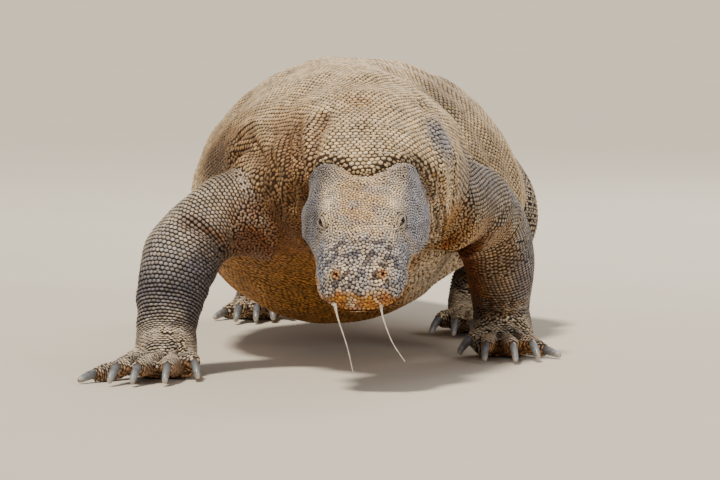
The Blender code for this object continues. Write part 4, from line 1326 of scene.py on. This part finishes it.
def set_stops(ramp, stops):
    """Gives the ramp of a node its places and colours."""
    while len(ramp.elements) < len(stops):
        ramp.elements.new(0.5)
    for stop, (where, colour) in zip(ramp.elements, stops):
        stop.position, stop.color = where, hex_colour(colour)


def new_material(name):
    material = bpy.data.materials.new(name)
    material.use_nodes = True
    return material, material.node_tree, material.node_tree.nodes["Principled BSDF"]


# %% Keratin scales
def scale_material(name, roughness, gloss):
    material, tree, shader = new_material(name)
    weights = zone_weights(tree)
    crown = add_node(tree, "ShaderNodeAttribute", attribute_name="crown").outputs["Fac"]
    tone = weights["zones_b", "Blue"]
    place = add_node(tree, "ShaderNodeTexCoord").outputs["Object"]
    # dust and wear in patches about 30 mm across, and flakes about 2 mm across
    dust = add_node(tree, "ShaderNodeTexNoise", {"Vector": place}, Scale=33.0, Detail=3.0)
    flake = add_node(tree, "ShaderNodeTexNoise", {"Vector": place}, Scale=480.0, Detail=2.0)
    # painted shade: the rim's dark colour towards the base of each scale, the top's colour towards its crown
    lift = add_node(tree, "ShaderNodeMapRange", {"Value": crown}, From_Min=0.36, From_Max=0.80)
    rim, top = zone_colour(tree, weights, 1), zone_colour(tree, weights, 0)
    colour = add_node(tree, "ShaderNodeMix", {SHARE: lift.outputs["Result"], FIRST: rim, SECOND: top},
                      data_type="RGBA").outputs[BOTH]
    worn = add_node(tree, "ShaderNodeMapRange", {"Value": dust.outputs["Fac"]}, From_Min=0.35, From_Max=0.7,
                    To_Min=0.82, To_Max=1.12)
    # each scale's own tone, which carries the painted light and shade of the markings
    own = add_node(tree, "ShaderNodeMapRange", {"Value": tone}, From_Max=1.3, To_Min=0.28, To_Max=1.476)
    # and a tint of its own, from cool to warm
    other = add_node(tree, "ShaderNodeTexWhiteNoise", {"W": tone}, noise_dimensions="1D").outputs["Value"]
    tint = add_node(tree, "ShaderNodeMix", {SHARE: other, FIRST: (0.93, 0.98, 1.10, 1),
                                            SECOND: (1.07, 1.0, 0.86, 1)}, data_type="RGBA")
    colour = times(tree, colour, tint.outputs[BOTH])
    chip = add_node(tree, "ShaderNodeMapRange", {"Value": flake.outputs["Fac"]}, To_Min=0.84, To_Max=1.16)
    shade = add_node(tree, "ShaderNodeMath", {0: worn.outputs["Result"], 1: own.outputs["Result"]},
                     operation="MULTIPLY")
    shade = add_node(tree, "ShaderNodeMath", {0: shade.outputs[0], 1: chip.outputs["Result"]},
                     operation="MULTIPLY")
    tree.links.new(times(tree, colour, shade.outputs[0]), shader.inputs["Base Color"])
    rough = add_node(tree, "ShaderNodeMapRange", {"Value": flake.outputs["Fac"]}, To_Min=roughness - 0.1,
                     To_Max=roughness + 0.12)
    tree.links.new(rough.outputs["Result"], shader.inputs["Roughness"])
    bump = add_node(tree, "ShaderNodeBump", {"Height": flake.outputs["Fac"]}, Strength=0.35, Distance=0.0004)
    tree.links.new(bump.outputs["Normal"], shader.inputs["Normal"])
    shader.inputs["IOR"].default_value = 1.55  # keratin
    shader.inputs["Specular IOR Level"].default_value = gloss
    return material


def skin_material():
    material, tree, shader = new_material("soft_reptile_skin")
    weights = zone_weights(tree)
    place = add_node(tree, "ShaderNodeTexCoord").outputs["Object"]
    # granules about 1.2 mm across between the scales
    grain = add_node(tree, "ShaderNodeTexVoronoi", {"Vector": place}, Scale=820.0)
    dust = add_node(tree, "ShaderNodeTexNoise", {"Vector": place}, Scale=60.0, Detail=4.0)
    light = add_node(tree, "ShaderNodeMapRange", {"Value": dust.outputs["Fac"]}, From_Min=0.3, From_Max=0.7,
                     To_Min=0.80, To_Max=1.15)
    # the bare skin's colours are darker as painted shade between the scales
    colour = times(tree, zone_colour(tree, weights, 2), light.outputs["Result"])
    tree.links.new(colour, shader.inputs["Base Color"])
    bump = add_node(tree, "ShaderNodeBump", {"Height": grain.outputs["Distance"]}, Strength=0.6,
                    Distance=0.0006, invert=True)
    tree.links.new(bump.outputs["Normal"], shader.inputs["Normal"])
    shader.inputs["Roughness"].default_value = 0.78
    shader.inputs["Specular IOR Level"].default_value = 0.3
    return material


KERATIN = scale_material("keratin_scales", 0.56, 0.30)
SKIN = skin_material()
print("zones:", len(ZONE_COLOURS))

# %% [markdown]
# ## One scale, set tens of thousands of times
# The scale is a low six-sided dome, a little longer than wide, with its base sunk under the skin. It has
# 22 triangles, because everything is multiplied by the number of scales. Geometry Nodes set a copy on
# every root: the roots carry each scale's turn and size, a small random tilt keeps the rows lively, and
# Realize Instances turns the copies into plain mesh.


# %% The scale
def make_scale():
    """A dome one long, one wide and one high; crown says how high each point is on it."""
    ring = [(0, .5), (-.5, .25), (-.5, -.25), (0, -.5), (.5, -.25), (.5, .25)]
    base = [(x, y, -0.45) for x, y in ring]
    shoulder = [(.78 * x, .78 * y + .03, 0.62) for x, y in ring]
    faces = []
    for i in range(6):
        j = (i + 1) % 6
        faces += [(i, j, 6 + j, 6 + i), (6 + i, 6 + j, 12)]
    faces.append((5, 4, 3, 2, 1, 0))
    scale = new_piece("one_scale", base + shoulder + [(0, .07, 1.0)], faces)
    crown = scale.data.attributes.new("crown", "FLOAT", "POINT")
    crown.data.foreach_set("value", [0.0] * 6 + [0.62] * 6 + [1.0])
    scale.data.shade_smooth()
    return scale


ONE_SCALE = make_scale()
bottom = ONE_SCALE.data.polygons[-1]
print("a scale's base faces", "down" if bottom.normal.z < 0 else "up")


# %% The node tree that sets the scales
def scale_setter():
    tree = bpy.data.node_groups.new("set_scales", "GeometryNodeTree")
    face = tree.interface
    face.new_socket("Geometry", in_out="OUTPUT", socket_type="NodeSocketGeometry")
    for name, kind in (("Roots", "Geometry"), ("One scale", "Object"), ("Tilt", "Float"), ("Seed", "Int"),
                       ("Finish", "Material")):
        face.new_socket(name, in_out="INPUT", socket_type="NodeSocket" + kind)
    given = tree.nodes.new("NodeGroupInput").outputs
    shape = add_node(tree, "GeometryNodeObjectInfo", {"Object": given["One scale"]})
    turn = add_node(tree, "GeometryNodeInputNamedAttribute", data_type="FLOAT_VECTOR", Name="turn")
    size = add_node(tree, "GeometryNodeInputNamedAttribute", data_type="FLOAT_VECTOR", Name="size")
    down = add_node(tree, "ShaderNodeMath", {0: given["Tilt"], 1: -1.0}, operation="MULTIPLY")
    wobble = add_node(tree, "FunctionNodeRandomValue", {"Min": down.outputs[0], "Max": given["Tilt"],
                                                        "Seed": given["Seed"]}, data_type="FLOAT_VECTOR")
    copies = add_node(tree, "GeometryNodeInstanceOnPoints",
                      {"Points": given["Roots"], "Instance": shape.outputs["Geometry"],
                       "Rotation": turn.outputs["Attribute"], "Scale": size.outputs["Attribute"]})
    tilted = add_node(tree, "GeometryNodeRotateInstances", {"Instances": copies.outputs["Instances"],
                                                            "Rotation": wobble.outputs["Value"]})
    real = add_node(tree, "GeometryNodeRealizeInstances", {"Geometry": tilted.outputs["Instances"]})
    painted = add_node(tree, "GeometryNodeSetMaterial", {"Geometry": real.outputs["Geometry"],
                                                         "Material": given["Finish"]})
    result = tree.nodes.new("NodeGroupOutput")
    tree.links.new(painted.outputs["Geometry"], result.inputs["Geometry"])
    return tree


SET_SCALES = scale_setter()


def scale_turns(normals, lies):
    """Euler angles that stand a scale on its root, its tip along the lie."""
    across = np.cross(lies, normals)
    across /= np.linalg.norm(across, axis=1)[:, None]
    ahead = np.cross(normals, across)
    return [Matrix(np.stack([a, b, c], 1).tolist()).to_euler()[:] for a, b, c in zip(across, ahead, normals)]


def store(mesh, name, kind, values):
    layer = mesh.attributes.new(name, kind, "POINT")
    field = {"FLOAT": "value", "FLOAT_VECTOR": "vector", "FLOAT_COLOR": "color"}[kind]
    layer.data.foreach_set(field, np.ascontiguousarray(values, dtype=np.float32).ravel())


def store_zones(mesh, picks):
    """Gives each point of the mesh the markings and the tone of one root."""
    store(mesh, "zones_a", "FLOAT_COLOR", zones_a[picks])
    more = np.stack([zones_b[picks, 0], zones_b[picks, 1], tones[picks], np.ones(len(picks))], 1)
    store(mesh, "zones_b", "FLOAT_COLOR", more)


def set_scales(name, picks):
    """Makes one coat piece from the roots picked."""
    roots_mesh = bpy.data.meshes.new(name)
    roots_mesh.from_pydata(roots[picks].tolist(), [], [])
    store(roots_mesh, "turn", "FLOAT_VECTOR", turns[picks])
    store(roots_mesh, "size", "FLOAT_VECTOR", spans[picks])
    store_zones(roots_mesh, picks)
    holder = add_object(name + "_roots", roots_mesh)
    setter = holder.modifiers.new("scales", "NODES")
    setter.node_group = SET_SCALES
    values = {"One scale": ONE_SCALE, "Tilt": 0.05, "Seed": 5, "Finish": KERATIN}
    for item in SET_SCALES.interface.items_tree:
        if item.in_out == "INPUT" and item.name in values:
            setter[item.identifier] = values[item.name]
    mesh = applied(holder)
    bpy.data.objects.remove(holder)
    for spare in ("turn", "size"):
        if spare in mesh.attributes:
            mesh.attributes.remove(mesh.attributes[spare])
    mesh.name = name
    piece = add_object(name, mesh)
    patch_uv(mesh, picks)
    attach(piece, "root")
    return piece


# %% [markdown]
# ## A flat map for each scale
# For painting and for export each scale needs a place on a flat map. The skin is unrolled along its
# own hoops: one side of the map runs along the body part and the other runs round it. A scale takes a
# small patch at its root's place.


# %% Patches on the map
PATCH = 0.003  # width of a scale on the map, which is one wide


def patch_uv(mesh, picks):
    low, high = along[picks].min(), along[picks].max()
    u = 0.01 + 0.98 * (along[picks] - low) / max(high - low, 1e-6)
    v = 0.01 + 0.98 * np.mod(around[picks], 1.0)
    corners = np.empty(len(mesh.loops), int)
    mesh.loops.foreach_get("vertex_index", corners)
    count = len(ONE_SCALE.data.vertices)
    local = read_points(ONE_SCALE.data)[:, :2] * PATCH
    owner_index, corner = corners // count, corners % count
    flat = np.stack([u[owner_index] + local[corner, 0], v[owner_index] + local[corner, 1]], 1)
    for layer in list(mesh.uv_layers):
        mesh.uv_layers.remove(layer)
    mesh.uv_layers.new(name="OFBake").data.foreach_set("uv", np.clip(flat, 0, 1).astype(np.float32).ravel())


# %% Size and turn of the scales
near_root = tree_over(roots.tolist())
# the eight scales beside each one: how far ahead or behind and how far to the side they are
beside = np.array([[n[1] for n in near_root.find_n(root, 9)[1:]] for root in roots.tolist()])
steps = roots[beside] - roots[:, None]
gaps = np.linalg.norm(steps, axis=2)
flat_lie = lies - normals * (lies * normals).sum(1)[:, None]
flat_lie /= np.linalg.norm(flat_lie, axis=1)[:, None]
ahead = abs((steps * flat_lie[:, None]).sum(2))
sideways = np.sqrt(np.maximum(gaps ** 2 - ahead ** 2, 0))
in_row = ahead < 0.45 * gaps  # beside the scale, not before or behind it


def usual(values, chosen, fallback):
    """The mean of the two smallest chosen values in each line."""
    sorted_values = np.sort(np.where(chosen, values, np.nan), axis=1)[:, :2]
    return np.where(np.isnan(sorted_values[:, 1]), fallback, sorted_values.mean(1))


room = np.clip(usual(sideways, in_row, sizes[:, 0]), 0.6 * sizes[:, 0], 1.25 * sizes[:, 0])
row_step = np.clip(usual(ahead, ~in_row, sizes[:, 1]), 0.55 * sizes[:, 1], 1.35 * sizes[:, 1])
flat_below = 1 - 0.65 * np.clip(zones_a[:, 1], 0, 1)
# scales in rows fill the room beside them and overlap the next row
spans = np.stack([1.02 * room, 1.17 * row_step, sizes[:, 2] * flat_below], 1)
in_rows = np.array(coat["row"])
# plates and pebbles go by their four nearest neighbours
crowd = gaps[:, :4].mean(1)
spans[~in_rows, 0] = np.clip(1.02 * crowd, 0.0012, 0.0060)[~in_rows]
spans[~in_rows, 1] = np.clip(1.10 * crowd, 0.0013, 0.0066)[~in_rows]
spans[on_head] *= (1.07, 1.07, 1.0)
spans[in_rows & (limbs >= 0) & (reaches > 0.76)] *= (1.10, 0.80, 1.15)  # ridges over wrists and toes
spans[parts == "arm_right"] *= (1.05, 1.05, 1.0)
spans *= 1 + 0.10 * (rng.random((len(roots), 3)) - 0.5)
turns = np.array(scale_turns(normals, lies))
print("mean width of a scale:", round(1000 * spans[:, 0].mean(), 1), "mm")

# %% Share out the scales
COAT_SOLIDS = {"head": ("head", "lower_jaw"), **LEG_SOLIDS}
# How far back each piece of the trunk ends; the last one takes all that is left.
TRUNK_CUTS = (("neck", .115), ("chest", .330), ("belly", .660), ("hips", .970), ("tail_base", 1.300),
              ("tail_middle", 1.720), ("tail_end", 2.060), ("tail_tip", 9.0))
back = roots[:, 1] - SHIFT.y
MOST = 8900  # scales in a piece
lows = [-9.0] + [cut for _, cut in TRUNK_CUTS]
shares = [(name, (name,), np.flatnonzero((parts == "trunk") & (back >= low) & (back < high)))
          for (name, high), low in zip(TRUNK_CUTS, lows)]
shares += [(name, solids, np.flatnonzero(parts == name)) for name, solids in COAT_SOLIDS.items()]
for name, solids, picks in shares:
    count = -(-len(picks) // MOST)
    picks = picks[np.argsort(along[picks], kind="stable")]
    for k, share in enumerate(np.array_split(picks, count)):
        piece = set_scales(f"scales_{name}" + (f"_{k + 1}" if count > 1 else ""), share)
        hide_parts(*solids)
        {"head": "head_skin", "neck": "neck_skin"}.get(
            name, "leg_skin" if name in LEGS else "tail_skin" if name.startswith("tail") else "back_skin")
        print(piece.name, len(share), "scales,", len(piece.data.polygons), "faces")
bpy.data.objects.remove(ONE_SCALE)

# %% [markdown]
# ## The skin, light enough to keep
# The sculpted skin has far more squares than its shape needs, now that the scales are set. Decimate
# thins it out by collapsing edges where it is flattest. Then each of its points takes the markings of
# the nearest scale, so the skin between the scales always agrees with them.


# %% Finish the skin
SKIN_TRIANGLES = 190000


def finished_skin():
    skin = add_object("skin", skin_mesh)
    thin = skin.modifiers.new("thin", "DECIMATE")
    thin.ratio = SKIN_TRIANGLES / triangle_count(skin_mesh)
    mesh = applied(skin)
    mesh.name = "skin"
    skin.modifiers.clear()
    skin.data = mesh
    store_zones(mesh, [near_root.find(point)[1] for point in read_points(mesh).tolist()])
    mesh.shade_smooth()
    mesh.materials.append(SKIN)
    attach(skin, "root")
    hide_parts(*FLESH)
    return skin


skin = finished_skin()
print("skin triangles:", triangle_count(skin.data))

# %% [markdown]
# ## Eyes and lids
# A monitor's eye is dark brown round a black pupil and wet. The ball is a fine sphere; how far each
# point is from its front is kept as an attribute, which places pupil and iris. The lids join the rings
# that were worked out before the scales, and their rims are dark and bare.

# %% Eyeballs
def eye_material():
    material, tree, shader = new_material("wet_eye")
    gaze = add_node(tree, "ShaderNodeAttribute", attribute_name="gaze").outputs["Fac"]
    place = add_node(tree, "ShaderNodeTexCoord").outputs["Object"]
    # fibres of the iris, about half a millimetre apart
    fibre = add_node(tree, "ShaderNodeTexNoise", {"Vector": place}, Scale=1900.0, Detail=2.0)
    ring = add_node(tree, "ShaderNodeMath", {0: fibre.outputs["Fac"], 1: 0.06, 2: gaze},
                    operation="MULTIPLY_ADD")
    ramp = add_node(tree, "ShaderNodeValToRGB", {"Fac": ring.outputs[0]})
    # pupil, iris and the white, which is brown in a monitor; places are angles in radians
    set_stops(ramp.color_ramp, ((0.0, "#030202"), (0.26, "#030202"), (0.30, "#4E3118"), (0.40, "#2E1B0D"),
                                (0.62, "#2A1A0C"), (0.72, "#120B06")))
    tree.links.new(ramp.outputs["Color"], shader.inputs["Base Color"])
    shader.inputs["Roughness"].default_value = 0.08
    shader.inputs["IOR"].default_value = 1.376  # cornea
    shader.inputs["Coat Weight"].default_value = 0.6
    return material


CORNEA = 0.0005  # how far the front of the ball bulges
WET_EYE = eye_material()
for key, centre in EYES.items():
    ball = bmesh.new()
    bmesh.ops.create_uvsphere(ball, u_segments=40, v_segments=28, radius=EYE_BALL)
    out, ahead, brow = eye_frame(key)
    bmesh.ops.transform(ball, matrix=Matrix((ahead, brow, out)).transposed().to_4x4(), verts=ball.verts)
    gaze = [v.co.normalized().angle(out) for v in ball.verts]
    for v, angle in zip(ball.verts, gaze):
        v.co += out * CORNEA * (1 - float(smoothstep(0.0, 0.75, angle))) + centre
    mesh = bpy.data.meshes.new("eyeball_" + key)
    ball.to_mesh(mesh)
    ball.free()
    store(mesh, "gaze", "FLOAT", gaze)
    mesh.shade_smooth()
    mesh.materials.append(WET_EYE)
    eyeball = add_object("eyeball_" + key, mesh)
    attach(eyeball, "root")
    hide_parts("eye_" + key)
print("eyeballs of", EYE_BALL * 2000, "mm")

# %% Lids
# the rims are dark bare skin; the dark fading out over the next rings is painted shade round the slit
RIM_OF_RINGS = (0.9, 0.8, 0.45, 0.2, 0.1, 0, 0, 0)  # how much of the rim's colour each ring has
RIM_ZONES = (0.2, 0.2, 0, 0.75)  # grey, ochre, warm and dark
for key in EYES:
    rings, out = lid_rings[key], EYE_AXES[key]
    lid = new_piece("eyelids_" + key, [p for ring in rings for p in ring], tube_faces(len(rings), AROUND))
    if lid.data.polygons[2 * AROUND].normal.dot(out) < 0:
        lid.data.flip_normals()
    rounder = lid.modifiers.new("round", "SUBSURF")
    rounder.levels = rounder.render_levels = 1
    near = [near_root.find(v.co)[1] for v in lid.data.vertices]
    rim = np.repeat(RIM_OF_RINGS, AROUND)
    dark_rim = zones_a[near] * (1 - rim[:, None]) + np.array([RIM_ZONES]) * rim[:, None]
    store(lid.data, "zones_a", "FLOAT_COLOR", dark_rim)
    tone, full = np.full(len(near), 0.5), np.ones(len(near))
    more = np.stack([zones_b[near, 0] * (1 - rim), zones_b[near, 1], tone, full], 1)
    store(lid.data, "zones_b", "FLOAT_COLOR", more)
    lid.data.shade_smooth()
    lid.data.materials.append(SKIN)
    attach(lid, "root")
    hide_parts("head")
print("lids made of", len(LID_RINGS) + 2, "rings each")

# %% [markdown]
# ## Claws
# The claws are horn: hard, streaked along their length, slate grey at the root and worn pale at the
# tip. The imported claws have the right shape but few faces, so each is copied, its triangles are joined
# to squares, and subdivision rounds it. Its root is drawn a few millimetres back into the toe, and its
# tip is worn blunt.


# %% Horn
def horn_material():
    material, tree, shader = new_material("streaked_horn")
    tip = add_node(tree, "ShaderNodeAttribute", attribute_name="tip").outputs["Fac"]
    place = add_node(tree, "ShaderNodeTexCoord").outputs["Object"]
    # streaks about 1 mm apart across and long down the claw
    squeeze = add_node(tree, "ShaderNodeMapping", {"Vector": place}, Scale=(1.0, 0.35, 0.30))
    streak = add_node(tree, "ShaderNodeTexNoise", {"Vector": squeeze.outputs["Vector"]}, Scale=850.0,
                      Detail=3.0)
    dirt = add_node(tree, "ShaderNodeTexNoise", {"Vector": place}, Scale=160.0, Detail=3.0)
    ramp = add_node(tree, "ShaderNodeValToRGB", {"Fac": tip})
    set_stops(ramp.color_ramp, ((0.0, "#4A4037"), (0.22, "#6B7079"), (0.7, "#8F9399"), (1.0, "#BDB1A0")))
    muddy = add_node(tree, "ShaderNodeMapRange", {"Value": dirt.outputs["Fac"]}, From_Min=0.45, From_Max=0.7,
                     To_Max=0.7)
    colour = add_node(tree, "ShaderNodeMix", {SHARE: muddy.outputs["Result"], FIRST: ramp.outputs["Color"],
                                              SECOND: hex_colour("#5C4A38")}, data_type="RGBA").outputs[BOTH]
    light = add_node(tree, "ShaderNodeMapRange", {"Value": streak.outputs["Fac"]}, From_Min=0.3, From_Max=0.7,
                     To_Min=0.75, To_Max=1.12)
    colour = times(tree, colour, light.outputs["Result"])
    tree.links.new(colour, shader.inputs["Base Color"])
    bump = add_node(tree, "ShaderNodeBump", {"Height": streak.outputs["Fac"]}, Strength=0.4, Distance=0.0003)
    tree.links.new(bump.outputs["Normal"], shader.inputs["Normal"])
    shader.inputs["Roughness"].default_value = 0.34
    shader.inputs["IOR"].default_value = 1.55
    return material


HORN = horn_material()

# %% The claws
SWOLLEN, SWOLLEN_TIP = 0.0014, 0.0007  # all over, and how much more at the tip
LOWEST = 0.0006  # no claw reaches nearer to the floor
ROOT_BACK, TIP_BACK = 0.0050, 0.0048


def make_claw(node):
    foot = box_middle("_".join(node.split("_")[1:3]))
    work = bmesh.new()
    work.from_mesh(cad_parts[node].data)
    bmesh.ops.remove_doubles(work, verts=work.verts, dist=1e-5)
    bmesh.ops.join_triangles(work, faces=work.faces, angle_face_threshold=0.8, angle_shape_threshold=1.5)
    work.normal_update()
    middle = sum((v.co for v in work.verts), Vector()) / len(work.verts)
    points = np.array([v.co[:] for v in work.verts])
    axis = Vector(np.linalg.svd(points - points.mean(0))[2][0])
    if axis.dot(foot - middle) > 0:
        axis = -axis
    reach = [(v.co - middle).dot(axis) for v in work.verts]
    low, high = min(reach), max(reach)
    tips = [(r - low) / (high - low) for r in reach]
    for v, tip in zip(work.verts, tips):
        v.co += v.normal * (SWOLLEN + SWOLLEN_TIP * tip)
        v.co.z = max(v.co.z, LOWEST)
        if tip > 0.9:
            v.co -= axis * TIP_BACK
        if tip < 0.16:
            v.co -= axis * ROOT_BACK
    mesh = bpy.data.meshes.new(node + "_horn")
    work.to_mesh(mesh)
    work.free()
    store(mesh, "tip", "FLOAT", tips)
    mesh.shade_smooth()
    mesh.materials.append(HORN)
    claw = add_object(node + "_horn", mesh)
    rounder = claw.modifiers.new("round", "SUBSURF")
    rounder.levels = rounder.render_levels = 2
    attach(claw, "root")
    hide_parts(node)


claws = sorted(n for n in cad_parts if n.startswith("claw"))
for node in claws:
    make_claw(node)
print("claws:", len(claws))

# %% [markdown]
# ## Drool
# Two strands of thick saliva hang from the lips. Each is a thin tube that swells into a few beads, made
# of a cloudy wet stuff that lets some light through.


# %% Strands
STRANDS = {"drool_right": ((-.0290, -.163, .106), (-.0248, -.166, .088), (-.0150, -.168, .058),
                           (-.0080, -.168, .028)),
           "drool_left": ((.0235, -.163, .105), (.0270, -.166, .088), (.0370, -.167, .062),
                          (.0514, -.168, .040))}
SIDES = 8  # of a strand


def drool_material():
    material, tree, shader = new_material("cloudy_saliva")
    place = add_node(tree, "ShaderNodeTexCoord").outputs["Object"]
    # froth about 3 mm apart
    froth = add_node(tree, "ShaderNodeTexNoise", {"Vector": place}, Scale=330.0, Detail=2.0)
    colour = add_node(tree, "ShaderNodeMix", {SHARE: froth.outputs["Fac"], FIRST: hex_colour("#F4EEE2"),
                                              SECOND: hex_colour("#CFC6B4")}, data_type="RGBA")
    tree.links.new(colour.outputs[BOTH], shader.inputs["Base Color"])
    shader.inputs["Roughness"].default_value = 0.18
    shader.inputs["IOR"].default_value = 1.34
    shader.inputs["Transmission Weight"].default_value = 0.35
    return material


SALIVA = drool_material()
for name, points in STRANDS.items():
    path = curve_through([from_animal(*p) for p in points], 0.0015)
    ahead, up = squared(np.gradient(path, axis=0), np.array([[0, 1.0, 0]]))
    side = np.cross(ahead, up)
    share = np.linspace(0, 1, len(path))
    radius = 0.0016 * np.exp(-share * 9) + 0.00075 * (1 - 0.55 * share) + 0.0002 * np.sin(share * 19) ** 2
    turn = np.linspace(0, math.tau, SIDES + 1)[:-1]
    rings = (path[:, None] + radius[:, None, None] * (np.cos(turn)[None, :, None] * up[:, None]
                                                      + np.sin(turn)[None, :, None] * side[:, None]))
    count = len(path) * SIDES
    ends = [tuple(range(SIDES - 1, -1, -1)), tuple(range(count - SIDES, count))]
    strand = new_piece(name, rings.reshape(-1, 3), tube_faces(len(path), SIDES) + ends)
    work = bmesh.new()
    work.from_mesh(strand.data)
    bmesh.ops.recalc_face_normals(work, faces=work.faces)
    work.to_mesh(strand.data)
    work.free()
    strand.data.shade_smooth()
    strand.data.materials.append(SALIVA)
    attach(strand, "root")
print("strands:", len(STRANDS))

# %% [markdown]
# ## Floor and light
# A plain pale floor and soft lights show the rows of scales without hard shadows. The strongest is a sun
# high up and a little in front, spread over some degrees. A fill lamp in front lights the shaded side,
# a rim lamp behind draws the outline of the back, and a pale world lights the rest.


# %% Floor
def floor_material():
    material, tree, shader = new_material("pale_floor")
    place = add_node(tree, "ShaderNodeTexCoord").outputs["Object"]
    # faint unevenness about 400 mm across
    cloud = add_node(tree, "ShaderNodeTexNoise", {"Vector": place}, Scale=2.5, Detail=2.0)
    colour = add_node(tree, "ShaderNodeMix", {SHARE: cloud.outputs["Fac"], FIRST: hex_colour("#D9D3C8"),
                                              SECOND: hex_colour("#D3CCBF")}, data_type="RGBA")
    tree.links.new(colour.outputs[BOTH], shader.inputs["Base Color"])
    shader.inputs["Roughness"].default_value = 1.0
    shader.inputs["Specular IOR Level"].default_value = 0.0
    return material


SPREAD = 45.0  # half the width of the floor
corners = [(x * SPREAD, y * SPREAD, 0) for x, y in ((-1, -1), (1, -1), (1, 1), (-1, 1))]
floor = new_piece("floor", corners, [(0, 1, 2, 3)])
floor.data.materials.append(floor_material())
print("floor", 2 * SPREAD, "m wide")


# %% Light
def add_light(name, place, target, size, power, colour, kind="AREA"):
    """Its size is the width of a lamp's disk in metres, or the spread of a sun in degrees."""
    data = bpy.data.lights.new(name, kind)
    data.energy, data.color = power, hex_colour(colour)[:3]
    if kind == "SUN":
        data.angle = math.radians(size)
    else:
        data.shape, data.size = "DISK", size
    lamp = add_object(name, data)
    lamp.location = from_animal(*place)
    lamp.rotation_euler = (from_animal(*target) - lamp.location).to_track_quat("-Z", "Y").to_euler()


add_light("high_key", (-0.9, -1.5, 3.5), (0, 0.1, 0.2), 9, 4.0, "#FFF3DF", "SUN")
add_light("soft_fill", (3.2, -4.2, 1.6), (0, 0.2, 0.15), 2.2, 98, "#FFF6EA")
add_light("back_rim", (1.2, 3.2, 2.6), (0, 0.4, 0.2), 2.0, 60, "#FFF8EE")
world = bpy.data.worlds.new("studio")
world.use_nodes = True
world.node_tree.nodes["Background"].inputs["Color"].default_value = hex_colour("#E9EBEE")
world.node_tree.nodes["Background"].inputs["Strength"].default_value = 0.38
scene.world = world
print("lights:", len(bpy.data.lights))
